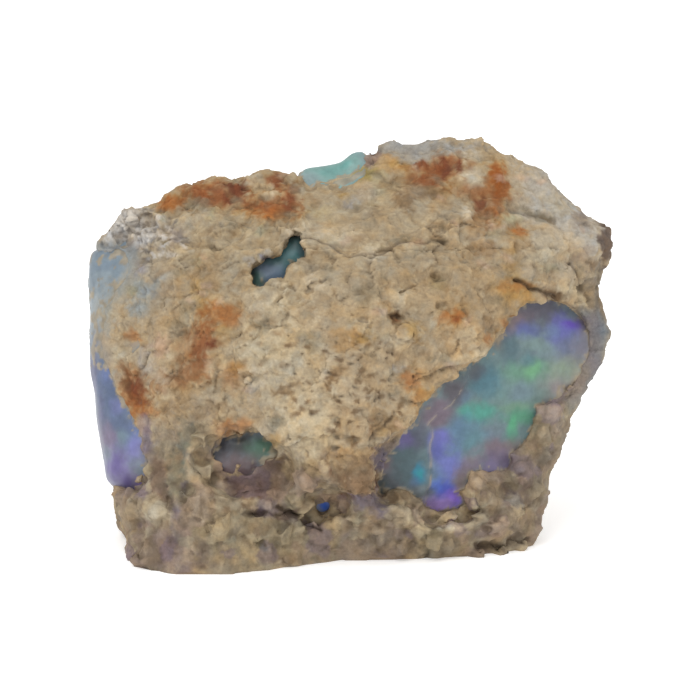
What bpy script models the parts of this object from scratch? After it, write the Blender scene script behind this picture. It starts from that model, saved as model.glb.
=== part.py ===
"""Opal in matrix: a rough seam of precious opal that stands with its host rock on a flat foot.

The stone is one natural specimen of two minerals that grew against each other:
    opal    the seam, a smooth body bare on the left flank, on the right face and at small windows
    matrix  the sandy host rock: a thick crust in front, the foot, the back and the top of the stone

Both are drawn in the seam's own frame, in millimetres: u runs across the stone, v up the seam and
w through it, from the crust in front (negative) to the back. The seam leans back on the foot.
"""

import math

import bmesh
import bpy
import numpy as np
from mathutils import Vector, noise

MM = 0.001

# Driving dimensions, in millimetres and degrees.
LEAN = 15.0  # how far the seam leans back
FOOT_DROP = 2.2  # the foot's plane cuts the middle of the seam this far above v = 0
HEART = (0.0, 18.0)  # (u, v) that both bodies are drawn round
SEAM_RIM = 1.5  # w of the seam's widest line
ROCK_RIM = 2.0  # w of the host rock's widest line
GAP = 0.3  # clear space between the two solids
SUNK = 1.1  # how far the host rock stays under the opal where the opal is bare
LEDGE = 0.7  # width of the step at the crust's broken edge
SEAM_ROUND = 3.2  # exponents of the edge profile: 2 is an ellipse, more is squarer
ROCK_ROUND = 3.6

SPOKES = 240  # mesh density before it is made even and thinned
FRONT_RINGS = 90
BACK_RINGS = 50
EVEN = 0.3
ROCK_TRIANGLES = 6000
SEAM_TRIANGLES = 1900

# The stone's outline, clockwise from the foot's left end, as (u, v). The opal is bare on the left
# flank and along one stretch of the top.
FOOT_LEFT = [(-18.4, -0.6), (-18.9, 0.8), (-19.2, 2.2), (-19.7, 3.7), (-20.1, 5.2), (-20.4, 6.7)]
LEFT_FLANK = [
    (-20.5, 8.3), (-20.7, 10.1), (-21.2, 12.0), (-21.7, 15.0), (-22.0, 18.2), (-22.3, 21.2),
    (-22.4, 24.0), (-22.3, 26.6), (-21.9, 28.2),
]
TOP_LEFT = [
    (-21.2, 29.6), (-20.3, 30.8), (-18.4, 31.9), (-16.7, 32.5), (-15.1, 33.6), (-13.1, 34.3),
    (-10.8, 34.7), (-9.6, 34.5), (-8.4, 34.9), (-5.6, 35.0),
]
TOP_BARE = [(-4.2, 35.4), (-2.6, 35.8), (-0.9, 36.0), (0.0, 36.8), (1.4, 37.2)]
TOP_RIGHT = [
    (2.4, 37.6), (3.7, 37.9), (5.8, 37.4), (8.3, 37.6), (9.9, 37.7), (12.2, 37.0), (14.4, 35.9),
    (15.6, 35.6), (17.2, 34.5), (18.6, 33.1), (20.0, 31.7),
]
RIGHT_FLANK = [
    (21.3, 30.8), (22.3, 29.4), (22.6, 28.1), (21.9, 26.4), (21.3, 25.2), (21.4, 24.1),
    (22.0, 22.6), (22.2, 20.9), (21.6, 19.1), (20.7, 16.7), (19.5, 14.0), (18.5, 11.5),
    (17.6, 8.9), (16.9, 6.4), (16.5, 4.4), (15.8, 2.5),
]
UNDER_FOOT = [(13.0, -3.0), (6.0, -6.0), (-6.0, -7.0), (-17.4, -5.0)]

# The seam's lower right edge, which the host rock hides, also clockwise.
SEAM_RIGHT = [
    (20.0, 29.2), (20.2, 26.0), (20.6, 23.0), (21.2, 20.9), (20.7, 19.0), (19.5, 16.2),
    (17.6, 13.0), (15.8, 9.2), (14.0, 6.4),
]
SEAM_FOOT = [(10.0, 4.8), (3.0, 4.2), (-5.0, 4.1), (-12.0, 5.4), (-18.4, 6.6)]

# Depths through hand-set points (u, v, w): the seam's two faces, and the back of the stone.
SEAM_FRONT = [
    (16.3, 23.0, -2.6), (20.6, 20.4, 0.4), (12.9, 19.5, -4.3), (17.2, 15.2, -1.2),
    (10.3, 15.2, -5.3), (12.9, 10.9, -3.6), (7.7, 6.6, -4.8), (4.3, 9.2, -5.6),
    (6.9, 13.5, -6.0), (-4.3, 18.7, -6.5), (-4.3, 10.9, -6.4), (-6.0, 27.3, -4.9),
    (-8.6, 10.9, -6.0), (-2.3, 6.0, -5.2), (-19.8, 15.2, -4.6), (-18.9, 9.2, -5.4),
    (-19.8, 25.5, -3.2), (-1.7, 34.6, -1.2), (4.3, 35.9, -0.2), (-12.9, 32.4, -1.8),
    (12.9, 32.4, -1.0), (19.5, 28.0, -0.6), (-16.0, 0.0, -6.0), (-9.0, 0.0, -6.0),
    (0.0, 1.2, -3.2), (7.0, 1.4, -2.8), (13.3, 1.8, -1.2),
]
SEAM_BACK = [
    (0.0, 18.0, 4.2), (-18.0, 18.0, 4.6), (18.0, 20.0, 3.6), (0.0, 33.0, 3.2), (0.0, 5.0, 3.4),
    (-15.0, 30.0, 3.6), (12.0, 8.0, 3.0),
]
ROCK_BACK = [
    (0.0, 18.0, 12.4), (-16.0, 18.0, 10.4), (16.0, 20.0, 9.0), (2.0, 32.0, 7.6), (0.0, 3.0, 12.6),
    (-14.0, 29.0, 8.2), (13.0, 8.0, 9.2), (-12.0, 6.0, 12.2), (10.0, 27.0, 10.6), (-5.0, 25.0, 12.0),
    (-19.0, 8.0, 8.6),
]

# Thickness of the crust over the seam through hand-set points (u, v, thickness).
CRUST = [
    (-4.3, 20.4, 3.9), (2.6, 23.8, 3.7), (8.6, 23.8, 2.9), (14.6, 26.4, 2.9), (18.9, 24.7, 2.2),
    (11.2, 19.5, 2.1), (4.3, 14.4, 2.4), (-0.9, 10.1, 3.2), (-6.0, 12.6, 3.0), (-12.9, 19.5, 1.8),
    (-17.2, 23.8, 0.9), (-18.9, 19.5, 0.8), (-17.2, 15.2, 1.1), (-14.6, 28.1, 1.5),
    (-19.8, 29.8, 1.2), (-8.6, 32.4, 1.6), (-1.7, 31.6, 1.4), (-4.3, 29.2, 2.2), (4.3, 29.4, 2.5),
    (10.3, 34.1, 1.8), (17.2, 32.4, 2.0), (20.6, 28.1, 2.2), (-12.9, 6.6, 2.4), (-17.2, 3.2, 3.3),
    (-4.3, 5.2, 1.1), (-4.3, 1.9, 1.3), (4.3, 4.0, 1.4), (11.2, 4.9, 1.5), (15.5, 4.9, 1.5),
    (-8.6, 7.5, 1.4), (-17.0, 0.0, 4.4), (-9.0, 0.0, 2.3), (0.0, 1.2, 0.9), (13.3, 1.8, 1.3),
    (17.0, 11.0, 1.4),
]

# Windows in the crust where the opal is bare, as outlines (u, v).
WINDOWS = {
    "right_face": [
        (15.5, 23.6), (17.6, 23.4), (19.2, 22.4), (20.4, 21.5), (23.0, 20.6), (21.8, 19.4),
        (20.6, 17.6), (19.4, 15.6), (17.0, 14.8), (15.5, 13.6), (14.9, 12.0), (13.9, 10.6),
        (12.8, 8.8), (10.6, 9.0), (9.7, 6.8), (7.8, 5.9), (6.2, 6.4), (5.6, 7.6), (3.4, 7.9),
        (2.4, 6.6), (2.2, 9.2), (1.6, 10.2), (3.2, 11.3), (5.0, 13.4), (7.6, 16.2), (9.9, 17.9),
        (12.0, 19.2), (13.4, 21.6),
    ],
    "left_flank": [
        (-24.0, 28.4), (-19.0, 28.2), (-18.6, 26.2), (-20.2, 23.6), (-21.5, 21.0), (-21.6, 19.0),
        (-20.2, 17.6), (-19.6, 15.8), (-18.2, 13.5), (-18.0, 9.8), (-17.6, 7.6), (-19.0, 7.3),
        (-24.0, 7.3),
    ],
    "top_edge": [(-5.0, 38.0), (-4.4, 34.2), (-3.0, 34.1), (-0.6, 35.1), (1.2, 36.2), (1.6, 38.5)],
    "blue_glint": [(-3.2, 6.4), (-2.0, 6.9), (-1.4, 6.0), (-2.2, 5.3), (-3.2, 5.6)],
    "blue_pit": [
        (-4.6, 29.6), (-4.3, 27.1), (-5.2, 26.4), (-5.9, 25.3), (-8.0, 24.6), (-8.5, 26.0),
        (-7.4, 27.0), (-5.6, 28.2),
    ],
    "green_pit": [
        (-10.4, 12.4), (-8.4, 13.0), (-7.4, 12.0), (-6.4, 10.6), (-7.8, 9.4), (-9.6, 8.8),
        (-11.2, 9.9), (-11.9, 10.9),
    ],
}

# Pits and hollows of the host rock (u, v, radius, depth), and lumps (u, v, radius, height).
HOLLOWS = [
    (-1.0, 6.3, 1.5, 1.2), (-5.6, 8.8, 1.3, 1.3), (-3.5, 4.6, 0.8, 0.6), (19.5, 27.4, 0.7, 0.6),
    (20.0, 24.9, 0.8, 0.6), (3.9, 22.2, 0.7, 0.6), (11.2, 32.0, 0.9, 0.6), (-6.8, 32.8, 0.8, 0.5),
    (13.2, 7.6, 1.1, 0.9), (8.0, 4.0, 0.8, 0.6), (10.9, 27.8, 1.0, 0.5), (-17.9, 4.6, 0.8, 0.5),
    (2.6, 27.9, 0.9, 0.5), (-14.8, 11.0, 0.9, 0.5), (7.6, 25.8, 0.8, 0.5),
]
LUMPS = [
    (-16.8, 5.7, 1.0, 0.9), (-18.9, 5.4, 1.0, 0.5), (-16.4, 9.2, 1.1, 0.6), (-13.7, 9.0, 1.2, 0.7),
    (-12.4, 6.5, 1.2, 0.6), (-10.4, 5.0, 1.1, 0.7), (-7.4, 4.0, 1.3, 0.7), (-4.4, 7.3, 1.2, 0.8),
    (-2.4, 8.9, 1.1, 0.7), (0.8, 8.4, 1.3, 1.0), (4.6, 6.6, 0.9, 0.9), (8.3, 4.8, 1.3, 0.8),
    (11.4, 8.4, 0.9, 1.0), (11.3, 6.6, 1.0, 0.8), (16.8, 13.8, 1.1, 0.8), (17.2, 11.6, 1.0, 0.8),
    (14.8, 10.9, 1.0, 0.7), (15.0, 8.6, 1.1, 0.8), (13.6, 4.6, 1.2, 0.6), (10.2, 34.6, 1.0, 0.5),
    (-13.6, 2.6, 1.5, 0.4), (-4.6, 1.8, 1.4, 0.4), (4.0, 2.8, 1.2, 0.5), (-16.4, 19.4, 1.1, 0.5),
    (-7.2, 33.0, 1.3, 0.6), (-15.6, 15.8, 1.2, 0.5), (12.4, 31.2, 1.2, 0.5), (16.0, 26.0, 1.4, 0.4),
]
BACK_LEDGES = [  # steps of the broken back: (a point u, v on the step, its direction, its depth)
    ((-6.0, 22.0), 25.0, 1.5),
    ((5.0, 13.0), -35.0, 1.3),
    ((9.0, 26.0), 70.0, 1.1),
]

HOST_ROCK = {"color": (0.56, 0.46, 0.34, 1.0), "roughness": 0.9, "metallic": 0.0}
OPAL = {"color": (0.27, 0.38, 0.46, 1.0), "roughness": 0.2, "metallic": 0.0}


def clear_scene():
    for obj in list(bpy.data.objects):
        bpy.data.objects.remove(obj)


def towards_heart(points, distance):
    """The points moved in by a distance along the line to the heart."""
    moved = []
    for u, v in points:
        reach = math.hypot(u - HEART[0], v - HEART[1])
        share = 1.0 - distance / reach
        moved.append((HEART[0] + (u - HEART[0]) * share, HEART[1] + (v - HEART[1]) * share))
    return moved


def radius_of(outline):
    """The outline's distance from the heart at each spoke, on a smooth curve through its points."""
    offsets = np.array(outline) - HEART
    angles = np.arctan2(offsets[:, 1], offsets[:, 0])
    radii = np.hypot(offsets[:, 0], offsets[:, 1])
    order = np.argsort(angles)
    turn = 2.0 * math.pi
    angles = np.concatenate([angles[order] - turn, angles[order], angles[order] + turn])
    radii = np.tile(radii[order], 3)
    spokes = np.linspace(-math.pi, math.pi, SPOKES, endpoint=False)
    return spokes, np.interp(spokes, angles, radii)


def thin_plate(points):
    """A smooth surface through hand-set heights: returns a function of (u, v)."""
    data = np.array(points)
    knots, heights = data[:, :2], data[:, 2]

    def bend(distance):
        return np.where(distance > 0.0, distance**2 * np.log(np.maximum(distance, 1e-9)), 0.0)

    gaps = np.linalg.norm(knots[:, None] - knots[None, :], axis=2)
    plane = np.hstack([np.ones((len(knots), 1)), knots])
    matrix = np.block([[bend(gaps), plane], [plane.T, np.zeros((3, 3))]])
    weights = np.linalg.solve(matrix, np.concatenate([heights, np.zeros(3)]))

    def surface(u, v):
        reach = np.hypot(u[..., None] - knots[:, 0], v[..., None] - knots[:, 1])
        flat = weights[-3] + weights[-2] * u + weights[-1] * v
        return bend(reach) @ weights[:-3] + flat

    return surface


def depth_inside(u, v, polygon):
    """How far each point lies inside the polygon; negative outside."""
    corners = np.array(polygon)
    nearest = np.full(u.shape, np.inf)
    inside = np.zeros(u.shape, bool)
    for (ua, va), (ub, vb) in zip(corners, np.roll(corners, -1, axis=0)):
        du, dv = ub - ua, vb - va
        along = np.clip(((u - ua) * du + (v - va) * dv) / (du * du + dv * dv), 0.0, 1.0)
        nearest = np.minimum(nearest, np.hypot(u - ua - along * du, v - va - along * dv))
        crosses = (va > v) != (vb > v)
        slope = du / dv if dv else 0.0
        inside ^= crosses & (u < ua + slope * (v - va))
    return np.where(inside, nearest, -nearest)


def smooth_step(value):
    share = np.clip(value, 0.0, 1.0)
    return share * share * (3.0 - 2.0 * share)


def domes(u, v, spots):
    """Sum of round bumps, each (u, v, radius, height)."""
    total = np.zeros(u.shape)
    for spot_u, spot_v, radius, height in spots:
        reach = np.hypot(u - spot_u, v - spot_v) / radius
        total += height * np.sqrt(np.clip(1.0 - reach**2, 0.0, 1.0))
    return total


def crust_front(seam_front, crust):
    """The host rock's front: the seam's front less the crust, with windows, lumps and hollows."""

    def surface(u, v):
        thick = crust(u, v) + domes(u, v, LUMPS) - domes(u, v, HOLLOWS)
        for polygon in WINDOWS.values():
            bare = smooth_step(depth_inside(u, v, polygon) / LEDGE + 0.5)
            thick = thick - (thick + SUNK) * bare
        return seam_front(u, v) - thick

    return surface


def stepped_back(rock_back):
    """The host rock's back, broken down in a few straight ledges."""

    def surface(u, v):
        depth = rock_back(u, v)
        for (step_u, step_v), heading, height in BACK_LEDGES:
            across = math.radians(heading)
            beyond = (u - step_u) * math.cos(across) + (v - step_v) * math.sin(across)
            depth = depth - height * smooth_step(beyond / LEDGE + 0.5)
        return depth

    return surface


def to_world(points):
    """Points (u, v, w) in millimetres as (x, y, z) in metres, with the foot's plane at z = 0."""
    lean = math.radians(LEAN)
    u, v, w = points[:, 0], points[:, 1], points[:, 2]
    y = v * math.sin(lean) + w * math.cos(lean)
    z = v * math.cos(lean) - w * math.sin(lean) - FOOT_DROP
    return np.stack([u, y, z], axis=1) * MM


def ring_shares(count):
    """Distances of the rings from the heart, as shares of the outline's radius, closer at the rim."""
    return [math.sin(0.5 * math.pi * (i + 1) / count) for i in range(count)]


def pillow(name, outline, front, back, rim, roundness):
    """A closed body over the outline: rings of points from the front pole round the rim to the back."""
    spokes, radii = radius_of(outline)
    shares = ring_shares(FRONT_RINGS)
    sides = [(share, front) for share in shares]
    sides += [(share, back) for share in reversed(ring_shares(BACK_RINGS)[:-1])]
    rows = []
    for share, face in sides:
        u = HEART[0] + share * radii * np.cos(spokes)
        v = HEART[1] + share * radii * np.sin(spokes)
        swell = max(1.0 - share**roundness, 0.0) ** (1.0 / roundness)
        rows.append(np.stack([u, v, rim + (face(u, v) - rim) * swell], axis=1))
    heart_u, heart_v = np.array([HEART[0]]), np.array([HEART[1]])
    poles = [(HEART[0], HEART[1], face(heart_u, heart_v)[0]) for face in (front, back)]
    points = to_world(np.vstack([np.array(poles)] + rows))

    faces = []
    first, last = 2, 2 + (len(rows) - 1) * SPOKES
    for i in range(SPOKES):
        after = (i + 1) % SPOKES
        faces.append((0, first + i, first + after))
        faces.append((1, last + after, last + i))
        for row in range(len(rows) - 1):
            inner = first + row * SPOKES
            outer = inner + SPOKES
            faces.append((inner + i, outer + i, outer + after, inner + after))
    mesh = bpy.data.meshes.new(name)
    mesh.from_pydata(points.tolist(), [], faces)
    obj = bpy.data.objects.new(name, mesh)
    bpy.context.scene.collection.objects.link(obj)
    return obj


def edit(obj, change):
    """Opens the object's mesh in bmesh, lets change(bm) work on it, and stores it again."""
    bm = bmesh.new()
    bm.from_mesh(obj.data)
    change(bm)
    bmesh.ops.recalc_face_normals(bm, faces=bm.faces)
    bm.to_mesh(obj.data)
    bm.free()


def make_even(obj):
    """Gives the body a mesh of equal small squares."""
    remesh = obj.modifiers.new("even", "REMESH")
    remesh.mode = "VOXEL"
    remesh.voxel_size = EVEN * MM
    apply_modifiers(obj)


def roughen(obj, layers, seed):
    """Moves each point along its normal by layers of noise, each (grain in mm, height in mm)."""

    def change(bm):
        bmesh.ops.recalc_face_normals(bm, faces=bm.faces)
        shift = Vector((seed, 2.0 * seed, 3.0 * seed))
        moves = []
        for vert in bm.verts:
            height = sum(
                noise.noise(vert.co / (grain * MM) + shift) * amount for grain, amount in layers
            )
            moves.append(vert.normal * height * MM)
        for vert, move in zip(bm.verts, moves):
            vert.co += move

    edit(obj, change)


def apply_modifiers(obj):
    graph = bpy.context.evaluated_depsgraph_get()
    mesh = bpy.data.meshes.new_from_object(obj.evaluated_get(graph))
    obj.modifiers.clear()
    obj.data = mesh


def thin_out(obj, triangles):
    """Merges the faces that the shape needs least, down to a number of triangles."""
    edit(obj, lambda bm: bmesh.ops.triangulate(bm, faces=bm.faces))
    decimate = obj.modifiers.new("thin_out", "DECIMATE")
    decimate.ratio = triangles / len(obj.data.polygons)
    apply_modifiers(obj)


def cut_foot(obj):
    """Cuts the stone off flat at z = 0."""

    def change(bm):
        parts = bm.verts[:] + bm.edges[:] + bm.faces[:]
        cut = bmesh.ops.bisect_plane(
            bm, geom=parts, plane_co=(0, 0, 0), plane_no=(0, 0, 1), clear_inner=True
        )
        rim = [item for item in cut["geom_cut"] if isinstance(item, bmesh.types.BMEdge)]
        bmesh.ops.edgeloop_fill(bm, edges=rim)
        bmesh.ops.triangulate(bm, faces=bm.faces)

    edit(obj, change)


def keep_largest_body(obj):
    """Removes the specks that the cut leaves beside the main body."""

    def change(bm):
        unseen = set(bm.verts)
        bodies = []
        while unseen:
            stack = [unseen.pop()]
            body = []
            while stack:
                vert = stack.pop()
                body.append(vert)
                near = [edge.other_vert(vert) for edge in vert.link_edges]
                fresh = [other for other in near if other in unseen]
                unseen.difference_update(fresh)
                stack.extend(fresh)
            bodies.append(body)
        bodies.sort(key=len)
        for body in bodies[:-1]:
            bmesh.ops.delete(bm, geom=body, context="VERTS")

    edit(obj, change)


def subtract_with_gap(obj, other):
    """Cuts the shape of another object out of this one, wider by GAP all round."""
    cutter = other.copy()
    cutter.data = other.data.copy()
    cutter.name = other.name + "_cutter"
    bpy.context.scene.collection.objects.link(cutter)
    swell = cutter.modifiers.new("swell", "DISPLACE")
    swell.mid_level = 0.0
    swell.strength = GAP * MM
    bpy.context.view_layer.update()
    apply_modifiers(cutter)
    cut = obj.modifiers.new("seam", "BOOLEAN")
    cut.operation = "DIFFERENCE"
    cut.object = cutter
    apply_modifiers(obj)
    bpy.data.objects.remove(cutter)


def principled(name, look):
    material = bpy.data.materials.new(name)
    material.use_nodes = True
    shader = material.node_tree.nodes["Principled BSDF"]
    shader.inputs["Base Color"].default_value = look["color"]
    shader.inputs["Roughness"].default_value = look["roughness"]
    shader.inputs["Metallic"].default_value = look["metallic"]
    return material


def opal_seam():
    """The opal: a thick rounded slab, bare on the left flank and on the right face."""
    outline = (
        LEFT_FLANK
        + towards_heart(TOP_LEFT, 1.8)
        + TOP_BARE
        + towards_heart(TOP_RIGHT, 2.2)
        + SEAM_RIGHT
        + SEAM_FOOT
    )
    front, back = thin_plate(SEAM_FRONT), thin_plate(SEAM_BACK)
    seam = pillow("opal", outline, front, back, SEAM_RIM, SEAM_ROUND)
    make_even(seam)
    roughen(seam, [(6.0, 0.35), (2.2, 0.12)], seed=3.0)
    thin_out(seam, SEAM_TRIANGLES)
    seam.data.materials.append(principled("precious_opal", OPAL))
    return seam


def host_rock(seam):
    """The matrix: crust, foot and back in one piece, hollowed where the seam sits."""
    outline = (
        FOOT_LEFT
        + LEFT_FLANK[:1]
        + towards_heart(LEFT_FLANK[1:-1], SUNK)
        + LEFT_FLANK[-1:]
        + TOP_LEFT
        + towards_heart(TOP_BARE, SUNK)
        + TOP_RIGHT
        + RIGHT_FLANK
        + UNDER_FOOT
    )
    front = crust_front(thin_plate(SEAM_FRONT), thin_plate(CRUST))
    back = stepped_back(thin_plate(ROCK_BACK))
    rock = pillow("matrix", outline, front, back, ROCK_RIM, ROCK_ROUND)
    make_even(rock)
    roughen(rock, [(5.0, 0.5), (2.0, 0.35), (1.0, 0.2)], seed=7.0)
    thin_out(rock, ROCK_TRIANGLES)
    cut_foot(rock)
    subtract_with_gap(rock, seam)
    keep_largest_body(rock)
    rock.data.materials.clear()
    rock.data.materials.append(principled("host_rock", HOST_ROCK))
    return rock


def centre_on_foot(bodies):
    """Places the bodies so that the origin is the middle of the stone's box, on the foot's plane."""
    corners = np.array([vert.co for obj in bodies for vert in obj.data.vertices])
    middle = 0.5 * (corners.min(axis=0) + corners.max(axis=0))
    for obj in bodies:
        obj.location = (-middle[0], -middle[1], 0.0)


def soften(obj):
    """Shades gentle turns smooth and keeps the broken edges sharp."""
    obj.data.shade_smooth()
    obj.data.set_sharp_from_angle(angle=math.radians(38.0))


def build():
    clear_scene()
    seam = opal_seam()
    rock = host_rock(seam)
    centre_on_foot([seam, rock])
    soften(seam)
    soften(rock)


build()
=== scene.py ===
# %% [markdown]
# # Opal in matrix
#
# A rough hand specimen, about as wide as a thumb is long. A seam of precious opal lies between a
# crust of sandy, iron-stained host rock in front and more of the same rock behind. The crust has
# broken away along a slanting edge, so the opal shows as a large face at the lower right, as a
# strip down the left flank, as a sliver on the top edge and at the bottom of three small windows.
#
# The solids of the two minerals come in as a fixed frame. Each is followed here by a finer body
# that stands in the same place: the host rock, the opal, and the loose-looking grit and pebbles
# that are cemented into the lower part of the rock.

import itertools
import math

import bpy
import numpy as np
from mathutils import Euler, Matrix, Vector
from mathutils.bvhtree import BVHTree
from mathutils.kdtree import KDTree


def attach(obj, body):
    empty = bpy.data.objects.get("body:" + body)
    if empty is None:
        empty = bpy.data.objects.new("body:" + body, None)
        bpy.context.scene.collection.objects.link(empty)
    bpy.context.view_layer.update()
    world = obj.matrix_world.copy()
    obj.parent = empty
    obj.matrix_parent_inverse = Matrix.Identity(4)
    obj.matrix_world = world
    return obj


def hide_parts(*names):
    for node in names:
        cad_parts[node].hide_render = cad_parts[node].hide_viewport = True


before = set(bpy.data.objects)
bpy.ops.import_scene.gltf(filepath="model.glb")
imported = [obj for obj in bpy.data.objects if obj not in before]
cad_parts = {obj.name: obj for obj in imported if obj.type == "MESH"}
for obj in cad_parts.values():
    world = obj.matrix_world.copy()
    obj.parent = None
    obj.data.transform(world)
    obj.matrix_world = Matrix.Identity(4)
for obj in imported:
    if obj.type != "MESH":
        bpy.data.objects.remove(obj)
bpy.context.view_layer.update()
print("solids:", {name: len(obj.data.polygons) for name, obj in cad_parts.items()})

# %% [markdown]
# ## The seam's own axes
#
# The stone broke along its seam, and the seam leans back on the foot. So every mark on the stone's
# face is given on the seam's own axes, in millimetres: u across the stone, v up the seam and w
# through it, from the crust in front to the back. These are the axes that the solids were drawn on.

# %% The seam's axes
MM = 0.001
LEAN = math.radians(15.0)
SEAM_ORIGIN = np.array([-0.219, -5.134, -2.2])  # where u = v = w = 0 lies, in mm
UP_SEAM = np.array([0.0, math.sin(LEAN), math.cos(LEAN)])
INTO_STONE = np.array([0.0, math.cos(LEAN), -math.sin(LEAN)])
SEAM_AXES = np.array([[1.0, 0.0, 0.0], UP_SEAM, INTO_STONE])


def to_seam(points):
    """World points in metres as (u, v, w) in millimetres."""
    return (points / MM - SEAM_ORIGIN) @ SEAM_AXES.T


def to_world(points):
    """Points (u, v, w) in millimetres as world points in metres."""
    return (points @ SEAM_AXES + SEAM_ORIGIN) * MM


# %% [markdown]
# ## Reading and writing a mesh's points
#
# A stone has no flat panels to extrude. Its shape is worn and broken at every scale, so the fine
# relief is best pushed into a dense mesh as a sculptor would do it, and numpy moves all the points
# at once. These helpers read and write points, edit a mesh, and make a new skin over it.

# %% Helpers that handle a mesh
SAME_PLACE = 0.01 * MM  # points of a solid that lie closer than this are one point


def select_only(obj):
    bpy.ops.object.select_all(action="DESELECT")
    obj.select_set(True)
    bpy.context.view_layer.objects.active = obj


def points_of(obj):
    flat = np.empty(len(obj.data.vertices) * 3)
    obj.data.vertices.foreach_get("co", flat)
    return flat.reshape(-1, 3)


def normals_of(obj):
    flat = np.empty(len(obj.data.vertices) * 3, np.float32)
    obj.data.vertex_normals.foreach_get("vector", flat)
    return flat.reshape(-1, 3).astype(float)


def move_points(obj, points):
    obj.data.vertices.foreach_set("co", points.astype(np.float32).ravel())
    obj.data.update()


def corners_of(obj):
    """The numbers of each triangle's three points."""
    flat = np.empty(len(obj.data.polygons) * 3, int)
    obj.data.polygons.foreach_get("vertices", flat)
    return flat.reshape(-1, 3)


def skin_tree(obj):
    """A search tree of the body's skin, to find its nearest place or what a ray hits."""
    return BVHTree.FromObject(obj, bpy.context.evaluated_depsgraph_get())


def apply_modifier(obj, kind, **settings):
    """Adds a modifier with these settings and applies it."""
    select_only(obj)
    bpy.ops.object.modifier_add(type=kind)
    modifier = obj.modifiers[-1]
    for name, value in settings.items():
        setattr(modifier, name, value)
    bpy.ops.object.modifier_apply(modifier=modifier.name)


def remesh(obj, voxel, smoothing):
    """Makes the body one closed skin of even squares, and smooths it this many times."""
    apply_modifier(obj, "REMESH", mode="VOXEL", voxel_size=voxel)
    if smoothing:
        apply_modifier(obj, "SMOOTH", factor=0.5, iterations=smoothing)


def edit_all(obj):
    """Opens the mesh for editing with all of it selected."""
    select_only(obj)
    bpy.ops.object.mode_set(mode="EDIT")
    bpy.ops.mesh.select_all(action="SELECT")


def edit_some(obj, kind, elements, chosen):
    """Opens the mesh for editing with only the chosen points or faces selected."""
    select_only(obj)
    bpy.ops.object.mode_set(mode="EDIT")
    bpy.ops.mesh.select_mode(type=kind)
    bpy.ops.mesh.select_all(action="DESELECT")
    bpy.ops.object.mode_set(mode="OBJECT")
    elements.foreach_set("select", chosen)
    bpy.ops.object.mode_set(mode="EDIT")


def close_edit():
    bpy.ops.object.mode_set(mode="OBJECT")


def copy_of_solid(node, name):
    """A new object with the solid's mesh, its loose triangles merged."""
    obj = bpy.data.objects.new(name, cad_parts[node].data.copy())
    bpy.context.scene.collection.objects.link(obj)
    obj.data.materials.clear()
    edit_all(obj)
    bpy.ops.mesh.remove_doubles(threshold=SAME_PLACE)
    bpy.ops.mesh.normals_make_consistent(inside=False)
    close_edit()
    return obj


def store(obj, name, values):
    """Keeps one number, or one colour, for each point of the mesh."""
    kind, key = "FLOAT", "value"
    if values.ndim == 2:
        kind, key = "FLOAT_COLOR", "color"
        values = np.hstack([values, np.ones((len(values), 1))])
    attribute = obj.data.attributes.new(name, kind, "POINT")
    attribute.data.foreach_set(key, values.astype(np.float32).ravel())


def read(obj, name):
    flat = np.empty(len(obj.data.vertices), np.float32)
    obj.data.attributes[name].data.foreach_get("value", flat)
    return flat.astype(float)


# %% [markdown]
# ## Noise, grains and patches
#
# A few small tools make all of the stone's unevenness. Lattice noise gives soft lumps of one size.
# Cut into terraces, such noise breaks into ledges with low cliffs, as a splintered stone does.
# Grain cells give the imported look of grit: each point belongs to the nearest of many scattered
# centres, and the joint between two grains is where the two nearest centres are equally far. A
# patch is an ellipse with a soft edge, and a path is a line that a crack or a ledge follows.

# %% Noise, grains and patches
NOISE_CELLS = 32  # the noise repeats after so many cells
GRAIN_CELLS = 64  # and so do the grains


def smooth_step(value):
    share = np.clip(value, 0.0, 1.0)
    return share * share * (3.0 - 2.0 * share)


def lumps_of(points, size, seed):
    """Smooth noise from -1 to 1 with bumps about one size across, in mm."""
    table = np.random.default_rng(seed).uniform(-1.0, 1.0, (NOISE_CELLS,) * 3)
    cell = points / size
    corner = np.floor(cell).astype(int)
    share = smooth_step(cell - corner)
    total = np.zeros(len(points))
    for step in itertools.product((0, 1), repeat=3):
        weight = np.prod(np.where(step, share, 1.0 - share), axis=1)
        total += weight * table[tuple(((corner + step) % NOISE_CELLS).T)]
    return total


def layered(points, layers):
    """Noise of several sizes added up. Each layer is (height, size in mm, seed)."""
    return sum(height * lumps_of(points, size, seed) for height, size, seed in layers)


def terraced(field, steps, edge):
    """A smooth field cut into level ledges with cliffs between them, and the number of each ledge."""
    scaled = field * steps
    ledge = np.floor(scaled)
    return (ledge + smooth_step((scaled - ledge - 0.5) / edge + 0.5)) / steps, ledge


def grains_of(points, size, seed):
    """For each point: the reach of the two nearest centres in mm, the nearest one's own number, and
    how high the point stands on a facet that is tilted its own way."""
    rng = np.random.default_rng(seed)
    places = rng.uniform(0.1, 0.9, (*(GRAIN_CELLS,) * 3, 3))
    numbers = rng.uniform(0.0, 1.0, (GRAIN_CELLS,) * 3)
    tilts = rng.normal(size=(*(GRAIN_CELLS,) * 3, 3))
    cell = points / size
    corner = np.floor(cell).astype(int)
    first = np.full(len(points), np.inf)
    second = np.full(len(points), np.inf)
    own = np.zeros(len(points))
    facet = np.zeros(len(points))
    for step in itertools.product((-1, 0, 1), repeat=3):
        home = corner + step
        index = tuple((home % GRAIN_CELLS).T)
        away = cell - home - places[index]
        reach = np.linalg.norm(away, axis=1)
        second = np.minimum(second, np.maximum(first, reach))
        closer = reach < first
        own = np.where(closer, numbers[index], own)
        facet = np.where(closer, np.einsum("ij,ij->i", away, tilts[index]), facet)
        first = np.minimum(first, reach)
    return first * size, second * size, own, facet * size


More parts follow.
